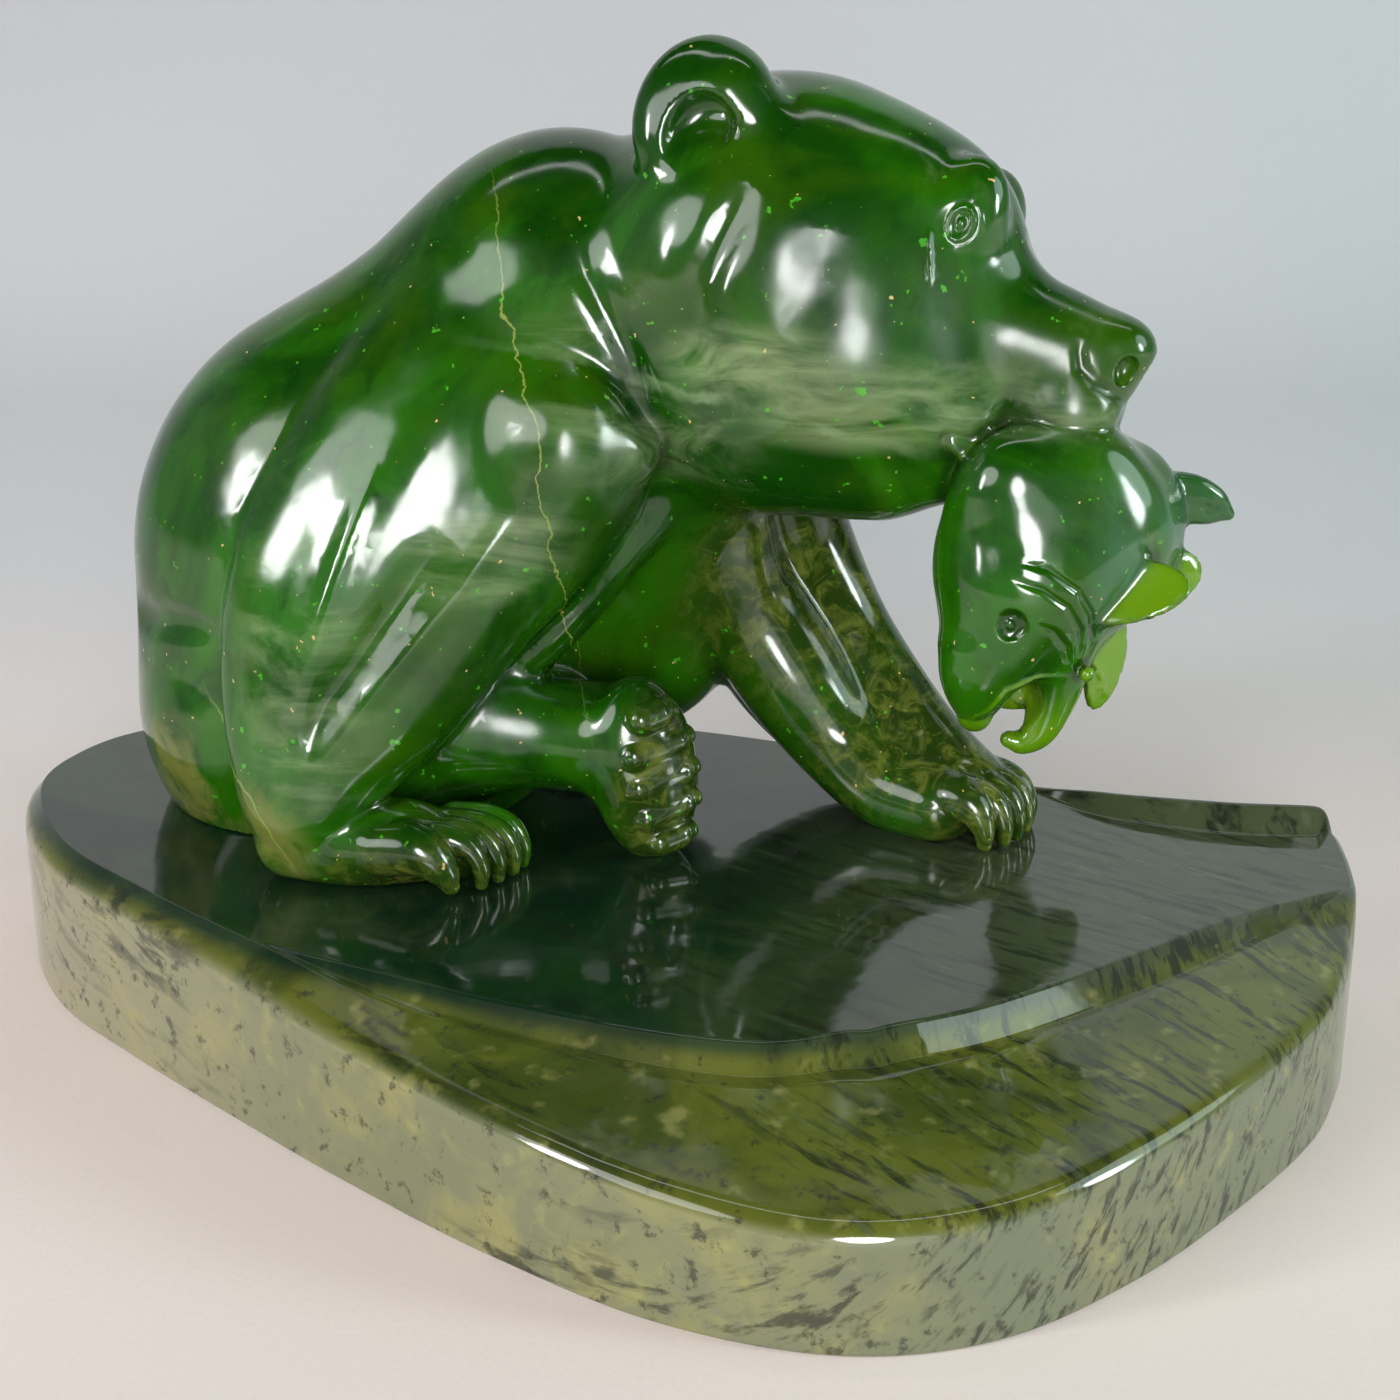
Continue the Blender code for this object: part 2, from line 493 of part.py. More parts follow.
def bear_mesh():
    """The carving's skin, cut level just above the plinth."""
    grid = sample(bear(), BOX_LOW, BOX_HIGH, GRID)
    height = BOX_LOW[2] + np.arange(grid.shape[2]) * GRID
    grid = np.maximum(grid, (GROUND + GAP - height).astype(np.float32))
    return skin(joined(grid), np.array(BOX_LOW, float), GRID)


def around(values, steady=False):
    """A closed smooth line through the values; a steady one never passes beyond them."""
    rise = np.roll(values, -1, 0) - values
    before = np.roll(rise, 1, 0)
    slope = (rise + before) / 2
    if steady:
        both = rise * before > 0
        slope = np.where(both, 2 * rise * before / np.where(both, rise + before, 1), 0)
    t = (np.arange(PLINTH_STEPS) / PLINTH_STEPS)[None, :, None]
    here, after = values[:, None], np.roll(values, -1, 0)[:, None]
    leave, arrive = slope[:, None], np.roll(slope, -1, 0)[:, None]
    line = here + (after - here) * t * t * (3 - 2 * t) + t * (1 - t) * (leave * (1 - t) - arrive * t)
    return line.reshape(-1, values.shape[1])


def plinth_mesh():
    """Rings round the block: underside, wall, slope, ledge and top, closed by two flat faces."""
    edge = np.array(PLINTH_EDGE, float)
    along = np.roll(edge[:, :2], -1, 0) - np.roll(edge[:, :2], 1, 0)
    inward = around(np.stack([-along[:, 1], along[:, 0]], 1) / length(along)[:, None])
    wall = around(edge[:, :2])
    wall_height, slope, ledge_height, ledge, rise = around(edge[:, 2:], steady=True).T
    rings = []
    for run, height in ((PLINTH_FOOT, 0), (0, PLINTH_FOOT), (0, wall_height), (slope, ledge_height),
                        (slope + ledge, ledge_height), (slope + ledge + rise, GROUND)):
        run, height = run + 0 * slope, height + 0 * slope
        rings.append(np.column_stack([wall + inward * run[:, None], height]))
    count = len(rings[0])
    faces = [(r * count + i, r * count + (i + 1) % count,
              (r + 1) * count + (i + 1) % count, (r + 1) * count + i)
             for r in range(len(rings) - 1) for i in range(count)]
    faces.append(tuple(range(count))[::-1])
    faces.append(tuple(range((len(rings) - 1) * count, len(rings) * count)))
    return np.concatenate(rings), faces


def add_piece(name, verts, faces, colour, roughness, crease):
    """A named object in metres with its own material."""
    mesh = bpy.data.meshes.new(name)
    mesh.from_pydata(((verts - CENTRE) / 1000).tolist(), [], [tuple(map(int, f)) for f in faces])
    mesh.validate()
    mesh.shade_smooth()
    mesh.set_sharp_from_angle(angle=np.radians(crease))
    material = bpy.data.materials.new(name)
    material.use_nodes = True
    shader = material.node_tree.nodes["Principled BSDF"]
    shader.inputs["Base Color"].default_value = (*colour, 1)
    shader.inputs["Roughness"].default_value = roughness
    shader.inputs["Metallic"].default_value = 0.0
    mesh.materials.append(material)
    piece = bpy.data.objects.new(name, mesh)
    bpy.context.scene.collection.objects.link(piece)
    return piece


for old in list(bpy.data.objects):
    bpy.data.objects.remove(old)

verts, faces = plinth_mesh()
add_piece("plinth", verts, faces, (0.05, 0.075, 0.03), 0.12, 20)

verts, faces = bear_mesh()
carving = add_piece("bear_and_salmon", verts, faces, (0.03, 0.14, 0.035), 0.08, 50)
thin = carving.modifiers.new("fewer faces", "DECIMATE")
thin.ratio = BEAR_TRIANGLES / (2 * len(faces))
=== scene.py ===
"""A jade bear with a salmon across its jaws, on a cut jade plinth.

The stone is worked here in millimetres, in the same places as the CAD solids, and each piece
is written in metres about the middle of the plinth's underside. The bear's body faces +X and
its head turns towards -Y, the near side.
"""
import math

import bpy
import numpy as np
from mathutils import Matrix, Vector


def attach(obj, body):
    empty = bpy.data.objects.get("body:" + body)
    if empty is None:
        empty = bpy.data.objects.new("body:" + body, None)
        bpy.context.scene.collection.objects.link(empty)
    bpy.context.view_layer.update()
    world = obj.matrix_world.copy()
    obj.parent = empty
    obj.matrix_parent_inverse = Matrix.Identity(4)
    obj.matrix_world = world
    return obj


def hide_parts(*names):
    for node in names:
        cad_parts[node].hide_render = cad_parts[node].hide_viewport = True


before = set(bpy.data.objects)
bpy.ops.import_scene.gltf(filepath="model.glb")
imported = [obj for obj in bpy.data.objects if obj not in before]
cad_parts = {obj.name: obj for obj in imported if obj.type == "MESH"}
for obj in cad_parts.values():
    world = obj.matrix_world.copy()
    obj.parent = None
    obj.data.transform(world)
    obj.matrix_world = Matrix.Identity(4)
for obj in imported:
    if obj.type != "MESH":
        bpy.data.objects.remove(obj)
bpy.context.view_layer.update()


# ---------------------------------------------------------------------------------------------
# The bear and its salmon. One block of green nephrite, sawn and ground to rounded masses with
# diamond wheels, its creases, fins, claws and eyes cut with fine points, and the whole polished
# until it mirrors the room. It stands loose on the plinth, a hair above it.
# ---------------------------------------------------------------------------------------------
GROUND = 38.0                 # height of the plinth's polished top
GAP = 0.3                     # clearance under the carving
BLOCK = 6                     # grid points along one block of the field
BUNCH = 4                     # blocks along one side of the first, rough look at the field
MISREAD = 1.35                # the field may read this many times the true distance
FAR = 24.0                    # distance past which a shape has no say
GRID = 1.0                    # spacing of the grid the carving is skinned on
FILLED = -0.02                # value given to a grid point that is filled with stone
NEIGHBOURS = 6.0              # points within cubes of this size are worked out together
PLAIN_TRIANGLES = 90000       # before the fine cutting is added
SETTLED = 0.03                # a point this near the surface needs no second move
LONGEST_MOVE = 0.5            # how far one move may take a point
# Painted glow: stone thinner than this is painted lighter and yellower, as light shining through it.
GLOW_DEPTH = 7.0              # stone thinner than this lets light through
# Painted shade: within this reach of a facing wall the stone is painted darker, as shade in nooks and
# creases.
NOOK_SHADE_REACH = 2.2              # a wall nearer than this makes a dark hollow
STONE_LOW, STONE_HIGH = (-132, -14, 34), (116, 110, 214)
CENTRE = np.array([-7.4, -1.9, 0.0])
HEAD_CENTRE = np.array([24.0, 38.0, 165.0])
HEAD_TURN, HEAD_BOW, HEAD_TILT = 18.0, 12.0, 15.0
# Where the fine cutting is, how far it reaches, and the longest edge left there: both eyes,
# nose, mouth corner, fish head, near paw, sole and far paw.
FINE_SPOTS = (((50, 13, 173), 8, 0.4), ((62, 47, 178), 7, 0.6), ((81, 9, 146), 11, 0.45),
              ((50, 5, 134), 6, 0.5), ((64, -4, 92), 20, 0.5), ((-46, 4, 46), 12, 0.6),
              ((-8, 12, 57), 21, 0.6), ((64, 24, 46), 12, 0.6))


def unit(v):
    v = np.asarray(v, float)
    return v / np.linalg.norm(v)


def length(q):
    return np.sqrt(np.einsum("ij,ij->i", q, q))


def melt(a, b, soft):
    """The nearer of two distances, rounded where they are alike."""
    h = np.maximum(soft - np.abs(a - b), 0) / soft
    return np.minimum(a, b) - h * h * soft / 4


def turned(x, hint):
    """Directions with the first along x and the second towards hint."""
    x = unit(x)
    z = unit(np.cross(x, hint))
    return np.stack([x, np.cross(z, x), z], 1)


def head_axes(turn, bow, tilt):
    """The head's ahead, near side and up directions, from three angles in degrees."""
    turn, bow, tilt = np.radians((turn, bow, tilt))
    ahead = np.array([np.cos(bow) * np.cos(turn), -np.cos(bow) * np.sin(turn), -np.sin(bow)])
    side = np.array([-np.sin(turn), -np.cos(turn), 0.0])
    up = np.cross(side, ahead)
    return np.stack([ahead, side * np.cos(tilt) + up * np.sin(tilt),
                     up * np.cos(tilt) - side * np.sin(tilt)], 1)


HEAD = head_axes(HEAD_TURN, HEAD_BOW, HEAD_TILT)


def on_head(ahead, side, up):
    """A place on the head, from steps along its own directions."""
    return HEAD_CENTRE + HEAD @ (ahead, side, up)


class Form:
    """A carved body as a distance field: shapes melt together in order, in groups."""

    def __init__(self):
        self.groups = []

    def group(self, soft):
        """Start a group that melts into the rest; one that starts with a groove works on all of it."""
        self.groups.append((soft, []))

    def add(self, kind, distance, centre, radius, soft):
        self.groups[-1][1].append((kind, distance, np.atleast_2d(centre), np.atleast_1d(radius), soft))

    def egg(self, centre, radii, soft=6.0, axes=None, kind="join"):
        """An ellipsoid, turned by axes when given."""
        centre, radii = np.asarray(centre, float), np.asarray(radii, float)

        def distance(p):
            q = p - centre if axes is None else (p - centre) @ axes
            near = length(q / radii)
            return near * (near - 1.0) / np.maximum(length(q / radii ** 2), 1e-9)
        self.add(kind, distance, centre, radii.max(), soft)

    def cone(self, start, end, r_start, r_end, soft=6.0, squeeze=1.0):
        """Two balls and the skin drawn over them; squeeze narrows it across Y."""
        start, end = np.asarray(start, float), np.asarray(end, float)
        scale = np.array([1.0, squeeze, 1.0])
        middle = np.array([0.0, (start[1] + end[1]) / 2, 0.0])
        a, b = (start - middle) * scale, (end - middle) * scale
        axis, drop = b - a, r_start - r_end
        span = axis @ axis
        slope = span - drop * drop

        def distance(p):
            q = (p - middle) * scale - a
            along = q @ axis
            beyond = along - span
            across = ((q * span - axis * along[:, None]) ** 2).sum(1)
            bend = np.sign(drop) * drop * drop * across
            tip = np.sign(beyond) * slope * beyond * beyond * span > bend
            root = np.sign(along) * slope * along * along * span < bend
            d = (np.sqrt(across * slope / span) + along * drop) / span - r_start
            d = np.where(root, np.sqrt(across + along * along * span) / span - r_start, d)
            d = np.where(tip, np.sqrt(across + beyond * beyond * span) / span - r_end, d)
            return d / (0.5 + 0.5 * squeeze)
        self.add("join", distance, (start + end) / 2,
                 np.linalg.norm(end - start) / 2 + max(r_start, r_end), soft)

    def limb(self, stations, soft=6.0, kind="join"):
        """A round tube of changing thickness on a smooth line through (x, y, z, radius)."""
        s = np.array(stations, float)
        s = np.vstack([2 * s[0] - s[1], s, 2 * s[-1] - s[-2]])
        a, b, c, d = s[:-3], s[1:-2], s[2:-1], s[3:]
        curve = 0.5 * np.stack([2 * b, c - a, 2 * a - 5 * b + 4 * c - d, 3 * b - a - 3 * c + d])
        spans, fine = len(b), 4

        def at(u):
            i = np.clip(u.astype(int), 0, spans - 1)
            t = (u - i)[:, None]
            q = curve[:, i]
            return (q[0] + t * (q[1] + t * (q[2] + t * q[3])),
                    q[1] + t * (2 * q[2] + 3 * t * q[3]), 2 * q[2] + 6 * t * q[3])
        line = at(np.arange(spans * fine + 1) / fine)[0]
        first, step = line[:-1, :3], np.diff(line[:, :3], axis=0)
        square = (step * step).sum(1)

        def distance(p):
            q = p[:, None] - first
            t = np.clip(np.einsum("nmj,mj->nm", q, step) / square, 0, 1)
            q -= t[..., None] * step
            i = np.argmin(np.einsum("nmj,nmj->nm", q, q), 1)
            u = (i + t[np.arange(len(p)), i]) / fine
            for _ in range(2):
                x, v, w = at(u)
                off = x[:, :3] - p
                vv = (v[:, :3] ** 2).sum(1)
                turn = (off * w[:, :3]).sum(1)
                u = np.clip(u - (off * v[:, :3]).sum(1) / np.maximum(vv + turn, 0.4 * vv), 0, spans)
            x = at(u)[0]
            return length(x[:, :3] - p) - x[:, 3]
        reach = np.sqrt(square.max()) / 2
        self.add(kind, distance, line[:, :3], line[:, 3] + reach, soft)

    def leaf(self, root, tip, facing, width, thick, cup=0.0, curl=0.0, soft=1.5):
        """A fin: a flat oval from root to tip, cupped across and curled along its length."""
        root, tip = np.asarray(root, float), np.asarray(tip, float)
        centre, half = (root + tip) / 2, np.linalg.norm(tip - root) / 2
        x = unit(tip - root)
        n = unit(np.asarray(facing, float) - (np.asarray(facing, float) @ x) * x)
        axes = np.stack([x, np.cross(n, x), n], 1)
        radii = np.array([half, width / 2, thick / 2])

        def distance(p):
            q = (p - centre) @ axes
            lean = np.sqrt(1 + (2 * cup * q[:, 1]) ** 2 + (2 * curl * q[:, 0]) ** 2)
            q[:, 2] -= cup * q[:, 1] ** 2 + curl * q[:, 0] ** 2
            near = length(q / radii)
            return near * (near - 1) / np.maximum(length(q / radii ** 2), 1e-9) / lean
        self.add("join", distance, centre, half + 5, soft)

    def groove(self, points, depth, width, through=None):
        """Press a line into the surface, or raise it where depth is negative, along through."""
        points = np.array(points, float)
        flat = np.eye(3) if through is None else np.eye(3) - np.outer(unit(through), unit(through))
        line = points @ flat
        starts = np.append(0, np.cumsum(length(np.diff(line, axis=0))))
        open_ended = length(line[:1] - line[-1:])[0] > 0.01
        centre = (points.min(0) + points.max(0)) / 2
        radius = np.linalg.norm(points - centre, axis=1).max() + 3 * width + 1

        def distance(p):
            best, run, q = np.full(len(p), 1e9), np.zeros(len(p)), p @ flat
            for start, a, b in zip(starts, line[:-1], line[1:]):
                t = np.clip((q - a) @ (b - a) / ((b - a) @ (b - a)), 0, 1)
                away = length(q - a - t[:, None] * (b - a))
                run = np.where(away < best, start + t * np.linalg.norm(b - a), run)
                best = np.minimum(best, away)
            ends = np.clip(np.minimum(run, starts[-1] - run) / (0.3 * starts[-1]), 0, 1)
            taper = 1 - (1 - ends) ** 2 if open_ended else 1.0
            near = np.exp(-(length(p - centre) / radius) ** 8)
            return depth * taper * near * np.exp(-(best / width) ** 2)
        self.add("press", distance, centre, 1.25 * radius, 0.0)

    def value(self, p, centre, radius):
        """Distance at points p, all within radius of centre; shapes too far to matter are skipped."""
        total = None
        for group_soft, shapes in self.groups:
            over_all = shapes[0][0] == "press"
            reach = group_soft + max(shape[-1] for shape in shapes)
            d = total if over_all else None
            for kind, distance, at, size, soft in shapes:
                gap = (length(at - centre) - size).min() - radius
                if kind == "press":
                    if gap < 0 and d is not None:
                        d = d + distance(p)
                elif kind == "cut":
                    if gap < soft + 1 and d is not None:
                        d = -melt(-d, distance(p), soft)
                elif d is None:
                    if gap < FAR and (total is None or gap < total.max() + reach):
                        d = distance(p)
                elif gap < min(FAR, d.max() + soft):
                    d = melt(d, distance(p), soft)
            if d is not None:
                total = d if total is None or over_all else melt(total, d, group_soft)
        return np.full(len(p), FAR) if total is None else total


def torso(m):
    """Rump, back, hump, neck root, chest and belly."""
    m.group(4)
    m.cone((-80, 54, 60), (-70, 54, 92), 44, 52, 12, 1.3)
    m.cone((-66, 54, 104), (-42, 52, 130), 47, 40, 12, 1.3)
    m.egg((-29, 52, 152), (30, 26, 32), 12)
    m.cone((-22, 50, 146), (4, 44, 144), 32, 34, 14, 1.15)
    m.cone((-14, 58, 110), (-12, 62, 78), 27, 22, 14)
    m.cone((-70, 56, 62), (-20, 66, 68), 30, 18, 16)
    m.groove([(-123, 44, 82), (-112, 32, 86), (-98, 22, 88)], 2.2, 4.0)


def oval(centre, first, second, start=0.0, end=360.0):
    """Points along an oval line round a centre."""
    turns = np.radians(np.linspace(start, end, 15))
    return [centre + np.cos(turn) * first + np.sin(turn) * second for turn in turns]


def head(m):
    """Skull, cheeks, muzzle and jaw, worked in the head's own directions."""
    m.group(5)
    m.egg(on_head(-3, 0, 0), (34, 28, 32), 8, HEAD)
    m.egg(on_head(19, 0, 5), (22, 20, 21.4), 10, HEAD)
    for s in (1, -1):
        m.egg(on_head(9, 17 * s, -15), (23, 12.5, 19), 10, HEAD)
    m.cone(on_head(22, 0, -8), on_head(58, 0, -9), 18, 12, 10)
    m.cone(on_head(4, 0, -36), on_head(24, 0, -38), 18, 13, 10)
    m.cone(on_head(20, 0, -36), on_head(44, 0, -34), 13, 8, 6)
    m.cone(on_head(-16, 0, -8), on_head(-2, 0, -28), 30, 24, 14)
    for s in (1, -1):
        m.cone(on_head(16, 10 * s, -22), on_head(37, 8 * s, -25), 16, 9.5, 8)
        m.egg(on_head(58.6, 5.2 * s, -18.2), (9.8, 8.0, 8.4), 4, HEAD)
    m.egg(on_head(64.2, 0.8, -4.4), (7.6, 8.4, 6.6), 2.0, HEAD)
    for s in (1, -1):
        eye, out = on_head(30.2, 18.6 * s, 10), HEAD[:, 1] * s
        m.egg(on_head(29.4, 12.2 * s, 12.6), (8.2, 6.8, 11.2), 3.2, HEAD)
        m.egg(eye + 3.9 * out, (4.6, 4.0, 6.2), 1.0, HEAD, "cut")
        m.egg(eye - 1.4 * out, (1.3, 1.9, 1.9), 0.3, HEAD)
        m.groove(oval(eye, HEAD @ (2.2, 0, -0.4), HEAD @ (0.5, 0, 3.2)), -0.5, 0.55, out)
        m.groove(oval(eye, HEAD @ (3.7, 0, -0.6), HEAD @ (0.6, 0, 4.6), -80, 80), -0.3, 0.5, out)
        m.groove([on_head(24.9, 21 * s, 7.5), on_head(26.6, 21.6 * s, 2.5), on_head(28.4, 22 * s, -3)],
                 -0.38, 0.45, out)
        m.groove([on_head(57.6, 11 * s, -4.5), on_head(58.3, 11.5 * s, -7.5), on_head(59.6, 11.7 * s, -10),
                  on_head(62.8, 11.4 * s, -12), on_head(66, 9.5 * s, -12.8), on_head(69, 5 * s, -13.2),
                  on_head(70.5, 0, -13.4)], 0.9, 1.3)
        m.groove([on_head(8, 31 * s, 2), on_head(8, 31 * s, -10), on_head(6, 30 * s, -20)], 0.7, 5.0)
    m.egg(on_head(67.4, 7.0, -8.4), (2.3, 2.6, 3.0), 0.8, HEAD, "cut")
    m.egg(on_head(71.2, 0.2, -6.6), (2.4, 1.9, 2.6), 0.8, HEAD, "cut")
    m.egg(on_head(66.5, -6.4, -7.6), (2.3, 2.6, 3.0), 0.8, HEAD, "cut")
    m.groove([(46.5, 0, 135.2), (50, 0, 134.4), (54, 0, 134.2)], 1.1, 1.0, (0, 1, -0.38))
    m.groove([on_head(40, 0, 12), on_head(52, 0, 7)], 0.6, 2.5)
    m.groove([on_head(71, 0, -12), on_head(70, 0, -20)], 0.8, 1.0)


def ears(m):
    """A thick rounded shell each, hollowed low down, with a round swelling in the hollow."""
    m.group(3)
    for s in (1, -1):
        axes = turned(HEAD @ (0.30, 0.94 * s, 0.12), HEAD @ (0.9, -0.3 * s, 0))
        base = on_head(-25, 20.5 * s, 14.7 + s)
        m.egg(base, (7.0, 13.0, 16.4), 4, axes)
        m.cone(on_head(-20, 21 * s, 22), on_head(-6, 19.5 * s, 14), 6.8, 4.5, 8)
        m.egg(base + axes @ (8.2, 0.6, 0) - 5.0 * HEAD[:, 2], (4.8, 7.2, 9.0), 1.6, axes, "cut")
        m.egg(base + axes @ (3.2, 0.8, 0) - 8.8 * HEAD[:, 2], (3.0, 4.6, 4.6), 2.0, axes)


def near_arm(m):
    """Four long muscle ridges run from the shoulder together to the wrist."""
    m.group(1.6)
    m.limb([(-52, 44, 150, 12), (-70, 30, 128, 12), (-84, 22, 104, 11), (-89, 18, 78, 10),
            (-87, 12, 58, 9), (-82, 9, 48, 8.5)], 5)
    m.limb([(-44, 44, 148, 18), (-60, 24, 122, 14.5), (-72, 13, 98, 11), (-80, 9, 74, 8.5),
            (-82, 7, 56, 7.5)], 10)
    m.limb([(-38, 46, 146, 24), (-48, 29, 120, 19.5), (-61, 17.5, 96, 14.5), (-73, 12, 74, 10),
            (-80, 9, 55, 8)], 8)
    m.limb([(-33, 44, 138, 24), (-34, 30, 118, 22), (-49, 19, 94, 16), (-63, 11, 73, 12),
            (-76, 7.5, 57, 8.5)], 7)
    m.groove([(-50, 6, 112), (-54, 6, 107), (-64, 5, 93), (-74.5, 3, 79), (-80, 3, 68)], 1.4, 3.2,
             (0, 1, -0.38))
    m.groove([(-63, 5, 128), (-66.5, 5, 120.7), (-75.4, 2, 96.2), (-80.4, 0, 76.1), (-82.4, 0, 59.4)],
             -0.9, 2.2, (0, 1, -0.38))
    m.groove([(-34.3, 5, 120.7), (-47.2, 0, 103.2), (-62.8, -2, 85), (-78.8, -1, 63.1)],
             -0.9, 2.2, (0, 1, -0.38))
    m.egg((-27, 25, 126), (16, 20, 20), 6)
    m.cone((-26, 26, 128), (-14, 20, 127), 13, 6, 6)
    m.limb([(-84, 9, 46, 8.6), (-72, 6.5, 46.5, 9.6), (-60, 7, 46, 8.8), (-51, 8, 44, 6.5)], 1.2)
    m.limb([(-66, 1.5, 47, 6.0), (-59, -1, 48, 5.8), (-55, -2.4, 46.6, 4.8), (-52.2, -3, 43.4, 3.4),
            (-51, -2.8, 40.4, 2.0)], 0.8)
    for x, y in ((-45, 0.4), (-41.8, 3.8), (-39, 7.4), (-37.2, 11.2)):
        claw(m, x, y, (-1.0, 0.08))
    m.limb([(-8, 34, 114, 7), (-19, 28, 100, 6), (-30, 26, 86, 5), (-42, 27, 74, 4)], 3)


def claw(m, x, y, back):
    """One toe and its long curved claw, from the tip on the ground back along the paw."""
    steps = ((0, 39.4, 1.5), (0.2, 43.2, 2.2), (2.4, 47.2, 2.6), (7, 49.3, 2.9), (14, 49.0, 3.6))
    m.limb([(x + back[0] * run, y + back[1] * run, z, r) for run, z, r in steps], 0.7)


def far_arm(m):
    """The other arm reaches out under the head; its five claws rest on the ground."""
    m.group(3)
    m.limb([(-2, 68, 108, 24), (12, 66, 86, 19), (21, 60, 68, 16.5), (32, 52, 56, 14),
            (42, 43, 49, 11.5), (54, 33, 46, 9.5)], 6)
    m.limb([(2, 52, 102, 12), (10, 51, 84, 12.5), (20, 47, 68, 12), (30, 43, 55, 10.5),
            (40, 36, 47, 9.5), (50, 29, 45, 8.5)], 3)
    m.limb([(16, 62, 106, 14), (22, 62, 92, 12.5), (31, 59, 76, 10.5), (40, 52, 64, 9.5),
            (49, 43, 54, 9), (60, 34, 46, 8)], 3)
    m.limb([(8, 46, 104, 7), (9, 45.5, 94, 7.5), (12, 45, 84, 6)], 3)
    m.limb([(-26, 68, 138, 24), (-8, 77, 112, 20), (8, 74, 90, 17), (18, 66, 76, 15)], 6)
    m.limb([(50, 30, 47.5, 6.5), (55.5, 24.5, 48, 5.4), (58.6, 21.6, 46.4, 4.0), (60.2, 20.2, 42.8, 2.6),
            (60.5, 19.8, 39.4, 1.7)], 0.8)
    for x, y in ((64.8, 21.6), (67.8, 25), (70, 28.9), (71.2, 33)):
        claw(m, x, y, (-0.74, 0.46))


def hind_leg(m):
    """The near hind leg, stretched forward with its sole turned to the front."""
    m.group(3)
    m.cone((-70, 40, 62), (-46, 30, 64), 26, 14, 12)
    m.egg((-97, 44, 61), (23, 23, 25), 8)
    m.limb([(-46, 30, 64, 13.5), (-32, 26, 63, 12), (-20, 24, 62, 12)], 8)
    sole, up = unit((0.55, -0.83, 0.05)), unit((-0.14, -0.05, 1.0))
    axes = np.stack([unit(np.cross(up, sole)), up, sole], 1)
    foot = np.array([-11.8, 20.0, 57.0])
    m.egg(foot, (12, 20.8, 9.2), 4, axes)
    for height, width in ((13.6, 5.4), (6.4, 8.4), (-0.8, 8.6), (-7.8, 7.8), (-14.6, 5.6)):
        m.cone(foot + axes @ (3.4 - width, height, 5.9), foot + axes @ (width - 3.4, height, 5.9),
               3.3, 3.2, 0.6)
        m.egg(foot + axes @ (width - 0.6, height + 0.4, 5.6), (1.9, 2.2, 3.2), 0.5, axes)


def far_leg(m):
    """The other hind leg: a folded thigh and a foot flat on the ground."""
    m.group(3)
    m.egg((-66, 82, 74), (36, 20, 34), 4)
    m.limb([(-88, 84, 50, 11), (-62, 88, 49, 10.5), (-38, 89, 49, 9.5)], 3)
    for y in (82.5, 87, 91.5, 95.5):
        m.limb([(-40, y, 49, 5.2), (-31, y, 48.5, 4.2), (-25, y, 44, 2.8), (-23.5, y, 40, 1.8)], 0.7)


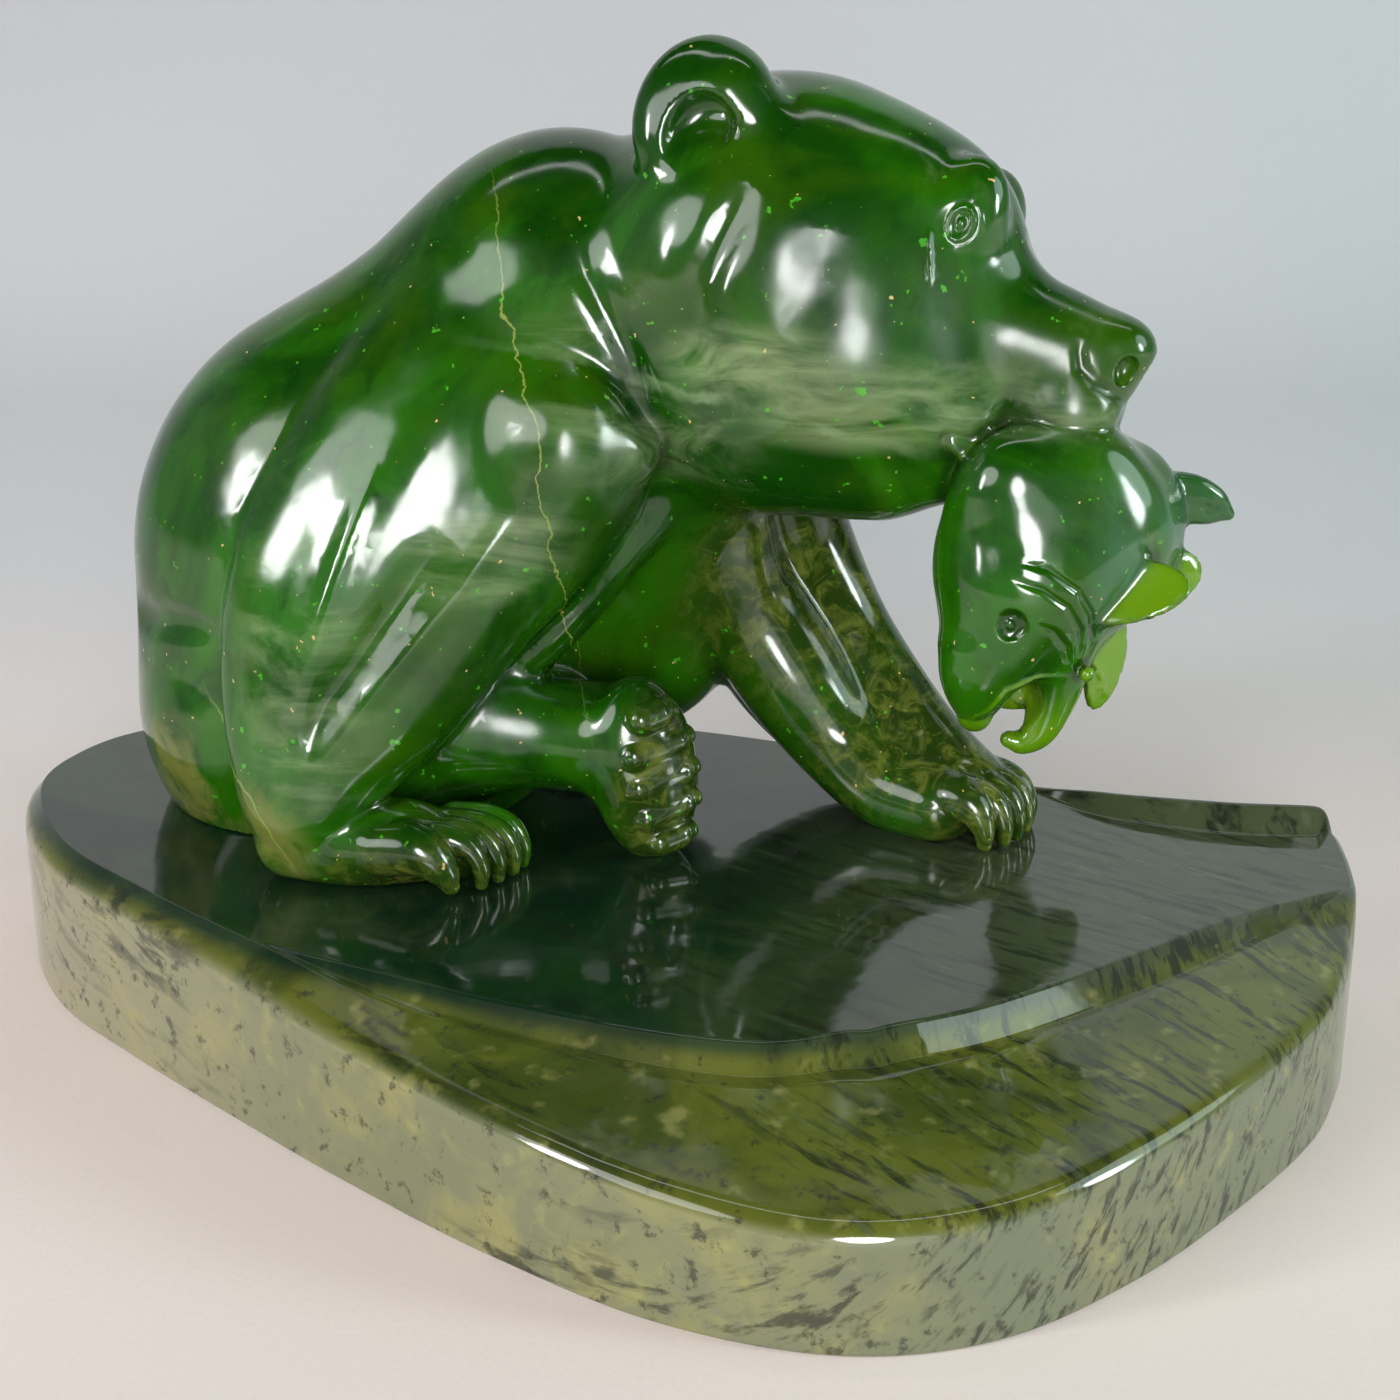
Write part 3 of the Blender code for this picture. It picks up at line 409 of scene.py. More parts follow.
def salmon(m):
    """The fish bent over the jaw: head down in front, tail behind the far cheek."""
    m.group(1.2)
    m.limb([(72, 12, 122, 13), (72.5, 11, 116, 14.5), (73, 10, 110, 15)], 6)
    m.egg((70.5, 8, 111), (23, 12.5, 23), 6)
    m.egg((84, 18, 111), (14, 12, 18), 5)
    m.egg((61.2, 5, 121.6), (11, 9.6, 12.2), 5)
    m.cone((64, 6, 102), (57, 1, 87), 16, 9, 8)
    m.limb([(56, 1, 90, 8), (54.8, 0, 82, 5.6), (55, 0, 77, 3.6)], 3)
    m.limb([(71, 4, 93, 9), (71.2, 3.6, 84, 6.4), (70.2, 3.2, 77.5, 4.8), (68.4, 2.8, 72.4, 3.6),
            (65.2, 2.6, 70, 2.6), (62.4, 2.4, 70.6, 1.8)], 3)
    m.egg((63.5, 7.5, 81), (7, 2.8, 6), 2)
    m.egg((64.2, -1.5, 79.6), (3.9, 6.5, 5.4), 1.2, None, "cut")
    m.egg((60.2, -9.4, 99), (3.2, 1.4, 3.4), 0.5, None, "cut")
    m.egg((60.3, -7.2, 98.8), (1.5, 1.5, 1.7), 0.3)
    m.egg((76.6, -3.4, 86.8), (1.5, 1.5, 1.5), 0.5)
    for arc in (((60.8, 111.7), (67.2, 110.2), (73.1, 105.8), (76.2, 100.5), (77.2, 94.5), (76.1, 88.4)),
                ((59.6, 108.4), (66.1, 106.4), (71.2, 102.6), (74.3, 97), (74.6, 90)),
                ((65, 99.6), (68.8, 97.6), (71.8, 93.4), (72.6, 89))):
        m.groove([(x, -4, z) for x, z in arc], 0.55, 0.65, (0, 1, 0))
    m.groove([(53, -4, 76.5), (57.4, -4, 79.6), (60.4, -4, 84.4), (66, -4, 86.4), (73, -4, 86)],
             -0.5, 0.7, (0, 1, 0))
    m.limb([(72, 14, 122, 12), (68, 34, 122, 14), (71, 54, 113, 12), (74, 66, 101, 7.5),
            (76, 71, 93, 4.6)], 6)
    m.leaf((75, 69, 97), (90, 84, 84), (0.35, -0.65, -0.3), 15, 3.4, 0.01, 0.004)
    m.leaf((75, 69, 96), (74, 80, 72), (0.35, -0.65, -0.3), 15, 3.4, 0.01, 0.004)
    m.leaf((64, 50, 124), (62, 62, 128), (0.9, 0.2, 0.2), 14, 3.2)
    m.leaf((54, 8, 128), (50, 9, 136), (0.6, -0.7, 0), 9, 3.4, 0, 0, 2)
    m.leaf((72, 1, 100), (95.5, -5, 106), (-0.3, -0.8, 0.5), 12.8, 3.6, 0.04, 0.0, 1.5)
    m.limb([(76, -1, 96, 1.6), (83, -3.4, 99, 1.5), (89.5, -4.8, 101.4, 1.3), (94, -5.4, 104.2, 0.9)], 0.8)
    m.leaf((90, 19, 118), (106.5, 21, 114.4), (0.2, -0.7, 0.65), 9.4, 3.6, -0.05, -0.025, 2)
    m.egg((98, 20, 117), (4.4, 2.6, 3.6), 2.5)
    m.limb([(97, 19.5, 119.4, 2.0), (101.5, 19.8, 118.2, 2.0), (105, 20.4, 115.8, 1.8),
            (107.6, 21, 112.5, 0.8)], 2)
    m.limb([(97, 19.6, 113.4, 1.8), (102.5, 20.2, 112.6, 1.6), (107, 21, 112.3, 0.8)], 2)
    m.groove([(96, 18, 118), (101, 18.5, 117), (106, 20, 114)], -0.4, 0.7, (0, 1, 0))
    m.leaf((90, 12, 102.4), (101.6, 15, 101.6), (-0.1, -0.95, 0.1), 10.5, 3.2, 0.0, 0.0, 1.5)
    m.leaf((82.5, 9, 98), (80.6, 9, 74.4), (0.6, -0.75, 0.1), 11.5, 3.4, 0.03, 0.0, 1.5)
    m.groove([(79, 4, 87), (81.5, 5, 82), (82, 6, 77.5)], -0.5, 0.7, (0, 1, 0))


def creases(m):
    """Where the neck meets the cheeks and the near shoulder."""
    m.group(0)
    for s in (1, -1):
        m.groove([on_head(-9, 29 * s, 6), on_head(-11, 31 * s, -4), on_head(-13, 31 * s, -14),
                  on_head(-13, 29 * s, -22), on_head(-11, 26 * s, -31)], 1.8, 4.0)
    m.groove([(-25, 23, 170), (-22, 21, 161), (-18, 19, 154), (-14, 18, 146), (-12, 17, 139),
              (-10, 16, 131), (-8, 16, 122)], 1.5, 2.4)


def bear():
    """The whole carving above the ground it sits on."""
    m = Form()
    for part in (torso, head, ears, near_arm, far_arm, hind_leg, far_leg, salmon, creases):
        part(m)
    return m


def sample(form, low, high, step):
    """Field values on a grid; blocks the surface cannot reach keep one value."""
    low = np.array(low, float)
    count = np.ceil((np.array(high) - low) / step / BLOCK).astype(int)
    size = BLOCK * step
    cells = np.stack(np.meshgrid(*[np.arange(n) for n in count], indexing="ij"), -1)
    inner = np.stack(np.meshgrid(*[np.arange(BLOCK)] * 3, indexing="ij"), -1).reshape(-1, 3) * step
    middle = low + cells * size + (BLOCK - 1) * step / 2
    rough = np.empty(tuple(count), np.float32)
    for bunch in np.ndindex(*(-(-count // BUNCH))):
        part = tuple(slice(BUNCH * n, BUNCH * n + BUNCH) for n in bunch)
        p = middle[part].reshape(-1, 3)
        c = (p.min(0) + p.max(0)) / 2
        rough[part] = form.value(p, c, length(p - c).max()).reshape(rough[part].shape)
    half = size * np.sqrt(3) / 2
    grid = np.repeat(np.repeat(np.repeat(rough, BLOCK, 0), BLOCK, 1), BLOCK, 2)
    for i, j, k in np.argwhere(np.abs(rough) < MISREAD * half + 1):
        value = form.value(low + np.array([i, j, k]) * size + inner, middle[i, j, k], half)
        block = tuple(slice(BLOCK * n, BLOCK * n + BLOCK) for n in (i, j, k))
        grid[block] = value.reshape(BLOCK, BLOCK, BLOCK)
    return grid


def joined(grid):
    """Fill grid points that touch the stone only across a diagonal, so the skin closes cleanly."""
    corners = np.array(list(np.ndindex(2, 2, 2)))
    while True:
        inside = grid < 0
        fill = np.zeros(grid.shape, bool)
        for axis in range(3):
            view, mark = np.moveaxis(inside, axis, 0), np.moveaxis(fill, axis, 0)
            a, b, c, d = view[:, :-1, :-1], view[:, 1:, :-1], view[:, :-1, 1:], view[:, 1:, 1:]
            cross = (a == d) & (b == c) & (a != b)
            mark[:, :-1, :-1] |= cross & ~a
            mark[:, 1:, :-1] |= cross & ~b
            mark[:, :-1, 1:] |= cross & ~c
            mark[:, 1:, 1:] |= cross & ~d
        views = [tuple(slice(c, n - 1 + c) for c, n in zip(corner, grid.shape)) for corner in corners]
        count = sum(inside[view].astype(int) for view in views)
        for near, far in zip(views[:4], views[:3:-1]):
            only = (count == 2) & inside[near] & inside[far]
            hole = (count == 6) & ~inside[near] & ~inside[far]
            for view in views:
                fill[view] |= (only | hole) & ~inside[view]
        if not fill.any():
            return grid
        grid = np.where(fill, np.minimum(grid, FILLED), grid)


def skin(grid, low, step):
    """Surface nets: a vertex in each cell the surface crosses, a quad on each crossed edge."""
    inside = grid < 0
    cells = [slice(0, n - 1) for n in grid.shape]
    corners = np.array(list(np.ndindex(2, 2, 2)))
    count = sum(inside[tuple(slice(c, n - 1 + c) for c, n in zip(corner, grid.shape))].astype(int)
                for corner in corners)
    crossed = (count > 0) & (count < 8)
    at = np.argwhere(crossed)
    number = -np.ones(crossed.shape, int)
    number[crossed] = np.arange(len(at))
    corner_value = [grid[tuple((at + corner).T)].astype(float) for corner in corners]
    total, hits = np.zeros((len(at), 3)), np.zeros(len(at))
    for i, a in enumerate(corners):
        for j, b in enumerate(corners):
            if i < j and abs(a - b).sum() == 1:
                va, vb = corner_value[i], corner_value[j]
                cut = (va < 0) != (vb < 0)
                t = np.where(cut, va / np.where(cut, va - vb, 1), 0)
                total += cut[:, None] * (a + t[:, None] * (b - a))
                hits += cut
    verts = low + (at + total / hits[:, None]) * step
    quads = []
    for axis in range(3):
        here = [slice(1, n - 1) for n in grid.shape]
        there = list(here)
        here[axis] = slice(0, grid.shape[axis] - 1)
        there[axis] = slice(1, grid.shape[axis])
        first = inside[tuple(here)]
        cut = np.argwhere(first != inside[tuple(there)])
        outward = first[tuple(cut.T)]
        base = cut + 1
        base[:, axis] -= 1
        u, v = np.eye(3, dtype=int)[(axis + 1) % 3], np.eye(3, dtype=int)[(axis + 2) % 3]
        quad = np.stack([number[tuple((base - d).T)] for d in (u + v, v, 0 * u, u)], 1)
        quad[~outward] = quad[~outward][:, ::-1]
        quads.append(quad)
    return verts, np.concatenate(quads)


def near_points(form, p):
    """Field values at scattered points, worked out a few neighbours at a time."""
    key = np.floor(p / NEIGHBOURS).astype(int)
    order = np.lexsort(key.T)
    ends = np.flatnonzero(np.any(np.diff(key[order], axis=0), 1)) + 1
    values = np.empty(len(p))
    for group in np.split(order, ends):
        q = p[group]
        middle = (q.min(0) + q.max(0)) / 2
        values[group] = form.value(q, middle, length(q - middle).max() + 0.01)
    return values


def slope_at(form, p, reach=0.2):
    """The field and its rise at points, from four samples round each."""
    corners = np.array([[1, 1, 1], [1, -1, -1], [-1, 1, -1], [-1, -1, 1]], float)
    values = [near_points(form, p + reach * corner) for corner in corners]
    rise = sum(value[:, None] * corner for value, corner in zip(values, corners)) / (4 * reach)
    return sum(values) / 4, rise


def longest_edge(p):
    """How long an edge may be at each point."""
    limit = np.full(len(p), 99.0)
    for centre, reach, edge in FINE_SPOTS:
        near = length(p - np.array(centre)) < reach
        limit[near] = np.minimum(limit[near], edge)
    return limit


def finer(p, faces):
    """Halves the edges that are too long for their place, and splits the triangles to suit."""
    ends = np.sort(faces[:, [0, 1, 1, 2, 2, 0]].reshape(-1, 2), 1)
    key, first, which = np.unique(ends[:, 0] * len(p) + ends[:, 1], return_index=True,
                                  return_inverse=True)
    ends = ends[first]
    split = length(p[ends[:, 0]] - p[ends[:, 1]]) > longest_edge(p)[ends].max(1)
    middle = np.where(split, np.cumsum(split) - 1 + len(p), -1)[which].reshape(-1, 3)
    p = np.concatenate([p, p[ends[split]].mean(1)])
    cuts = (middle >= 0).sum(1)
    made = [faces[cuts == 0]]
    for turn in range(3):
        (a, b, c), (ab, bc, ca) = np.roll(faces, turn, 1).T, np.roll(middle, turn, 1).T
        one, two = (cuts == 1) & (ab >= 0), (cuts == 2) & (ca < 0)
        for here, corners in ((one, ((a, ab, c), (ab, b, c))),
                              (two, ((a, ab, c), (ab, b, bc), (ab, bc, c)))):
            made += [np.stack(corner, 1)[here] for corner in corners]
    made += [np.stack(corner, 1)[cuts == 3]
             for corner in ((a, ab, ca), (ab, b, bc), (ca, bc, c), (ab, bc, ca))]
    return p, np.concatenate(made)


def stone_mesh(name, verts, faces):
    """A mesh from arrays of points and triangles or squares."""
    mesh = bpy.data.meshes.new(name)
    mesh.from_pydata(verts.tolist(), [], faces.tolist())
    return mesh


def keep(mesh, name, values):
    """A number for each point of a mesh, for its material to read."""
    mesh.attributes.new(name, "FLOAT", "POINT").data.foreach_set("value", values.astype(np.float32))


def carve():
    """Skins the field, thins the faces where it is plain, and settles every point on the surface."""
    form = bear()
    grid = sample(form, STONE_LOW, STONE_HIGH, GRID)
    height = STONE_LOW[2] + np.arange(grid.shape[2]) * GRID
    sole = GROUND + GAP
    grid = np.maximum(grid, (sole - height).astype(np.float32))
    verts, faces = skin(joined(grid), np.array(STONE_LOW, float), GRID)
    rough = bpy.data.objects.new("rough", stone_mesh("rough", verts, faces))
    bpy.context.scene.collection.objects.link(rough)
    thin = rough.modifiers.new("fewer faces", "DECIMATE")
    thin.ratio = PLAIN_TRIANGLES / (2 * len(faces))
    thin.use_collapse_triangulate = True
    mesh = bpy.data.meshes.new_from_object(rough.evaluated_get(bpy.context.evaluated_depsgraph_get()))
    bpy.data.objects.remove(rough)

    p, faces = np.empty(len(mesh.vertices) * 3), np.empty(len(mesh.polygons) * 3, int)
    mesh.vertices.foreach_get("co", p)
    mesh.polygons.foreach_get("vertices", faces)
    bpy.data.meshes.remove(mesh)
    p, faces = finer(*finer(p.reshape(-1, 3), faces.reshape(-1, 3)))
    flat = p[:, 2] < sole + GRID / 20
    rise, loose = np.empty_like(p), np.arange(len(p))
    for _ in range(2):
        value, slant = slope_at(form, p[loose])
        step = slant * (value / np.maximum((slant ** 2).sum(1), 0.25))[:, None]
        step *= np.minimum(1, LONGEST_MOVE / np.maximum(length(step), 1e-9))[:, None]
        p[loose] = np.where(flat[loose, None], p[loose], p[loose] - step)
        rise[loose] = slant
        loose = loose[np.abs(value) > SETTLED]
    p[:, 2] = np.maximum(p[:, 2], sole)
    normal = rise / np.maximum(length(rise), 1e-9)[:, None]
    normal[flat] = (0, 0, -1)
    mesh = stone_mesh("carved stone", (p - CENTRE) / 1000, faces)
    # Painted glow: how thin the stone is behind each point, used to lighten the colour where light would
    # shine through.
    inside = near_points(form, p - GLOW_DEPTH * normal)
    # Painted shade: how closed in each point is, used to darken the colour in nooks and creases.
    outside = near_points(form, p + NOOK_SHADE_REACH * normal)
    keep(mesh, "thin", np.clip(1 + inside / GLOW_DEPTH, 0, 1))
    keep(mesh, "hollow", np.clip(1 - outside / NOOK_SHADE_REACH, -1, 1))
    mesh.shade_smooth()
    mesh.normals_split_custom_set_from_vertices(normal.tolist())
    mesh.update()
    return mesh


def put(tree, kind, inputs=None, **options):
    """A shader node with its options, and its inputs set or linked by name or number."""
    made = tree.nodes.new("ShaderNode" + kind)
    for option, value in options.items():
        setattr(made, option, value)
    for name, value in (inputs or {}).items():
        if isinstance(value, bpy.types.NodeSocket):
            tree.links.new(value, made.inputs[name])
        else:
            made.inputs[name].default_value = value
    return made


def cloud(tree, at, scale, detail=3.0, rough=0.5, twist=0.0):
    """Soft mottling in the stone."""
    return put(tree, "TexNoise", {"Vector": at, "Scale": scale, "Detail": detail,
                                  "Roughness": rough, "Distortion": twist}).outputs["Fac"]


def ease(tree, value, low, high, top=1.0):
    """0 below low and top above high, with a smooth change between."""
    return put(tree, "MapRange", {"Value": value, "From Min": low, "From Max": high, "To Max": top},
               interpolation_type="SMOOTHSTEP").outputs["Result"]


def sums(tree, operation, a, b):
    """One step of arithmetic on two numbers."""
    return put(tree, "Math", {0: a, 1: b}, operation=operation).outputs[0]


def blot(tree, at, centre, radii, edge=0.25):
    """1 inside an egg-shaped region of the stone, given in millimetres, and 0 outside it."""
    place = (np.array(centre) - CENTRE) / 1000
    size = 1000 / np.array(radii, float)
    moved = put(tree, "VectorMath", {0: at, 1: tuple(place)}, operation="SUBTRACT").outputs[0]
    scaled = put(tree, "VectorMath", {0: moved, 1: tuple(size)}, operation="MULTIPLY").outputs[0]
    away = put(tree, "VectorMath", {0: scaled}, operation="LENGTH").outputs["Value"]
    return ease(tree, away, 1 + edge, 1 - edge)


def tint(tree, share, under, over):
    """Lays one colour over another by a share."""
    return put(tree, "MixRGB", {0: share, 1: under, 2: over}).outputs[0]


def crack(tree, at, through, facing, wander, width, region):
    """A healed crack: a wandering sheet through the stone, seen as a line where it comes out."""
    place = (np.array(through) - CENTRE) / 1000
    moved = put(tree, "VectorMath", {0: at, 1: tuple(place)}, operation="SUBTRACT").outputs[0]
    across = put(tree, "VectorMath", {0: moved, 1: tuple(unit(facing))},
                 operation="DOT_PRODUCT").outputs["Value"]
    bend = sums(tree, "MULTIPLY", sums(tree, "SUBTRACT", cloud(tree, at, 42.0, 5.0, 0.6), 0.5), wander)
    away = put(tree, "Math", {0: sums(tree, "ADD", across, bend)}, operation="ABSOLUTE").outputs[0]
    line = ease(tree, away, width / 1000, width / 4000)
    return sums(tree, "MULTIPLY", line, region)


def painter(tree):
    """Short ways to lay a colour over another by a share, and to multiply two shares."""
    def over(share, colour, below):
        return tint(tree, share, below, (*colour, 1))

    def both(a, b):
        return sums(tree, "MULTIPLY", a, b)
    return over, both


def polished(name):
    """A new stone material with its shader and object coordinates."""
    material = bpy.data.materials.new(name)
    material.use_nodes = True
    tree = material.node_tree
    shader = tree.nodes["Principled BSDF"]
    shader.inputs["IOR"].default_value = 1.61
    at = put(tree, "TexCoord").outputs["Object"]
    return material, tree, shader, at


def carved_jade():
    """Deep green, with a painted glow where the stone is thin, milky clouds partly painted sheen, flecks,
    rind, cracks and painted shade in nooks.
    """
    material, tree, shader, at = polished("carved jade")
    over, both = painter(tree)

    def within(*eggs):
        """1 inside any of these egg-shaped regions of the stone."""
        shares = [blot(tree, at, centre, radii, 0.4) for centre, radii in eggs]
        while len(shares) > 1:
            shares.append(sums(tree, "MAXIMUM", shares.pop(0), shares.pop(0)))
        return shares[0]
    grain = put(tree, "Mapping", {"Vector": at, "Rotation": (0.3, 0.5, 0.2),
                                  "Scale": (1.0, 1.6, 0.7)}).outputs[0]
    drawn = put(tree, "Mapping", {"Vector": at, "Rotation": (0.0, 0.55, 0.3),
                                  "Scale": (0.35, 1.0, 1.6)}).outputs[0]
    thin = put(tree, "Attribute", attribute_name="thin").outputs["Fac"]
    hollow = put(tree, "Attribute", attribute_name="hollow").outputs["Fac"]

    # The body colour: bright and deep green, near-black mottling, warm patches, and a painted glow, lighter
    # and yellower, where the stone is thin.
    colour = over(ease(tree, cloud(tree, grain, 20.0, 5.0, 0.6, 0.8), 0.38, 0.64),
                  (0.017, 0.12, 0.001), (0.004, 0.045, 0.0006, 1))
    colour = over(ease(tree, cloud(tree, grain, 70.0, 4.0, 0.65, 0.5), 0.5, 0.72, 0.7),
                  (0.002, 0.028, 0.0006), colour)
    # Painted glow of light shining through thin stone.
    colour = over(ease(tree, thin, 0.3, 1.0, 0.4), (0.03, 0.17, 0.002), colour)
    warm = ease(tree, cloud(tree, grain, 27.0, 4.0, 0.62, 0.6), 0.46, 0.66, 0.6)
    colour = over(warm, (0.028, 0.085, 0.0008), colour)
    # The salmon: a painted teal sheen on its side, a painted yellow-green glow through its thin fins and
    # jaw, and a darker upper fin.
    fish = within(((76, 14, 98), (36, 34, 40)))
    # Painted reflection: a teal sheen of the bluish right-hand light on the salmon's side.
    teal_sheen = both(within(((84, 4, 108), (12, 16, 18))),
                ease(tree, cloud(tree, grain, 60.0, 4.0), 0.35, 0.62, 0.65))
    colour = over(teal_sheen, (0.045, 0.14, 0.07), colour)
    # Painted glow: the salmon's thin fins and jaw painted yellow-green, as light shining through them.
    colour = over(both(fish, ease(tree, thin, 0.2, 1.0, 0.85)), (0.13, 0.27, 0.004), colour)
    colour = over(both(within(((102, 20, 116), (13, 12, 9))), 0.85), (0.008, 0.07, 0.022), colour)
    # Milky veils along the jaw, neck, shoulder and near arm: partly milky stone, partly a painted sheen of
    # the softboxes mirrored in the polish.
    milk_and_sheen = within(((22, 6, 140), (44, 26, 9)), ((-10, 20, 140), (26, 24, 20)), ((58, 10, 136), (24, 16, 7)),
                  ((-78, 10, 84), (14, 24, 40)), ((-44, 10, 112), (18, 20, 14)))
    veil_and_sheen = ease(tree, cloud(tree, drawn, 48.0, 5.0, 0.62, 0.8), 0.46, 0.72, 0.5)
    colour = over(both(milk_and_sheen, veil_and_sheen), (0.24, 0.33, 0.15), colour)
    # Creamier patches on the cheek and jaw, partly stone and partly painted sheen.
    cream_and_sheen = both(within(((31, 4, 138), (20, 16, 8)), ((10, 6, 147), (18, 16, 7))),
                 ease(tree, cloud(tree, drawn, 70.0, 4.0, 0.6, 0.8), 0.34, 0.62, 0.6))
    colour = over(cream_and_sheen, (0.27, 0.35, 0.16), colour)
    colour = over(ease(tree, cloud(tree, grain, 38.0, 5.0, 0.6, 1.2), 0.6, 0.82, 0.4),
                  (0.12, 0.22, 0.06), colour)
    # Olive, mottled stone in the far arm, the sole and the near paw, and rind low on the rump.
    olive = within(((22, 54, 92), (26, 30, 32)), ((46, 38, 58), (24, 24, 16)), ((64, 24, 44), (20, 18, 14)),
                   ((-6, 10, 52), (11, 13, 24)), ((-52, 0, 42), (24, 12, 9)))
    colour = over(both(olive, 0.75), (0.018, 0.032, 0.004), colour)
    mottle = ease(tree, cloud(tree, at, 190.0, 4.0, 0.7, 0.8), 0.42, 0.72, 0.65)
    colour = over(both(olive, mottle), (0.17, 0.20, 0.03), colour)
    rind = within(((-106, 30, 50), (26, 26, 14)), ((-128, 52, 80), (10, 34, 40)),
                  ((-88, 4, 46), (9, 12, 14)))
    patch = ease(tree, cloud(tree, at, 55.0, 5.0, 0.62, 0.8), 0.42, 0.62, 0.7)
    colour = over(both(rind, patch), (0.19, 0.19, 0.045), colour)
    # Two healed cracks, a pale streak along the jaw, and bright green and copper flecks.
    for through, facing, wander, width, region in (
            ((-32, 20, 120), (1, 0.1, 0.17), 0.014, 0.26, ((-36, 18, 125), (26, 40, 52))),
            ((-94, 10, 60), (1, 0.25, 0.45), 0.008, 0.3, ((-92, 12, 58), (14, 20, 22)))):
        line = crack(tree, at, through, facing, wander, width, within(region))
        colour = over(both(line, 0.8), (0.24, 0.3, 0.06), colour)
    streak = crack(tree, at, (0, 20, 138), (0.25, 0.2, 1), 0.01, 1.6,
                   within(((4, 20, 138), (44, 40, 20))))
    colour = over(both(streak, ease(tree, cloud(tree, at, 90.0, 4.0), 0.35, 0.7, 0.5)),
                  (0.28, 0.4, 0.2), colour)
    fleck = ease(tree, cloud(tree, at, 430.0, 2.0), 0.7, 0.75, 0.7)
    colour = over(fleck, (0.07, 0.42, 0.02), colour)
    glint = ease(tree, cloud(tree, at, 640.0, 1.0), 0.77, 0.8, 0.9)
    colour = over(glint, (0.6, 0.42, 0.16), colour)
    # Painted shade: darker in nooks and creases, where a nearby wall closes the surface in.
    colour = over(ease(tree, hollow, 0.1, 0.55, 0.6), (0.003, 0.014, 0.0015), colour)
    tree.links.new(colour, shader.inputs["Base Color"])
    # The polish: mirror-bright, duller and satin on the cheek, muzzle and shoulder.
    wave = sums(tree, "ADD", cloud(tree, at, 60.0, 2.0), both(cloud(tree, drawn, 900.0, 3.0), 0.006))
    bump = put(tree, "Bump", {"Height": wave, "Strength": 0.14, "Distance": 0.002}).outputs[0]
    tree.links.new(bump, shader.inputs["Normal"])
    gloss = put(tree, "MapRange", {"Value": cloud(tree, at, 130.0, 4.0), "From Min": 0.3,
                                   "From Max": 0.8, "To Min": 0.08, "To Max": 0.19}).outputs[0]
    satin = within(((34, 4, 158), (24, 22, 22)), ((70, 4, 148), (15, 16, 13)), ((-20, 4, 112), (20, 16, 22)),
                   ((-40, 6, 74), (14, 16, 14)))
    tree.links.new(sums(tree, "ADD", gloss, both(satin, 0.13)), shader.inputs["Roughness"])
    shader.inputs["Subsurface Weight"].default_value = 0.3
    shader.inputs["Subsurface Radius"].default_value = (0.35, 1.0, 0.15)
    shader.inputs["Subsurface Scale"].default_value = 0.004
    return material


def finished(name, mesh, material, node):
    """Puts a finished piece where its CAD solid is, gives it its material and hides the CAD solid."""
    mesh.materials.clear()
    mesh.materials.append(material)
    piece = bpy.data.objects.new(name, mesh)
    bpy.context.scene.collection.objects.link(piece)
    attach(piece, "root")
    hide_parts(node)
    return piece


finished("jade_bear_with_salmon", carve(), carved_jade(), "bear_and_salmon")


# ---------------------------------------------------------------------------------------------
# The plinth. A thick slab of darker jade sawn flat above and below, its outline left in the
# curves of the pebble; its front is ground to a long slope, a narrow ledge and a short rise,
# and its whole surface polished.
# ---------------------------------------------------------------------------------------------
# Round the plinth, from the left corner by the front: x and y of the wall, height of the
# wall, run of the slope above it, height and width of the ledge, run of the rise to the top.
NONE = 0.5
PLINTH_EDGE = (
    (-152, 52, 33.5, 4.0, 38, NONE, NONE), (-140, 22, 33.5, 4.5, 38, NONE, NONE),
    (-119, -2, 33.5, 5.2, 38, NONE, NONE), (-95, -26, 33, 6.5, 38, NONE, NONE),
    (-70, -50, 31.5, 11, 35.5, 2, 3), (-40, -76, 29.5, 20, 33.5, 3, 4),
    (-8, -98, 27, 29, 33, 4, 4.5), (24, -108, 25, 38, 32.8, 5, 4.5),
    (53, -103, 26, 39, 32.8, 4.5, 4.5), (80, -84, 27.5, 34, 33, 4, 5),
    (103, -60, 28, 28, 33, 3.5, 5), (121, -37, 28.5, 22, 33.3, 3, 5),
    (130, -18, 29.5, 15, 34, 2, 4), (134, -6, 32, 8, 36, 1, 2),
    (136, 4, 37, 1.2, 38, NONE, NONE), (137.5, 18, 37, 1.2, 38, NONE, NONE),
    (137.5, 30, 37, 1.2, 38, NONE, NONE), (133, 33, 42.6, 0.5, 43, 1, 4),
    (112, 36, 42.3, 0.5, 42.8, 1, 5), (90, 44, 41, 0.5, 41.5, 1, 4),
    (70, 58, 37.6, 0.5, 38.1, 0.8, 1), (38, 75, 37, 1.2, 38, NONE, NONE),
    (0, 90, 37, 1.2, 38, NONE, NONE), (-45, 101, 37, 1.2, 38, NONE, NONE),
    (-95, 104, 37, 1.2, 38, NONE, NONE), (-132, 92, 36, 2, 38, NONE, NONE),
    (-149, 74, 34.5, 3.5, 38, NONE, NONE))
PLINTH_STEPS = 15             # points from one place on that edge to the next
# Rounding, in order, of the underside, the wall's top, the ledge's two sides and the top's edge.
PLINTH_ROUNDING = (1.2, 4.2, 0.8, 0.4, 0.7)
GRAIN = turned((0.5, 0.67, -0.54), (0.8, -0.6, 0))   # across the stone's grain, and along it


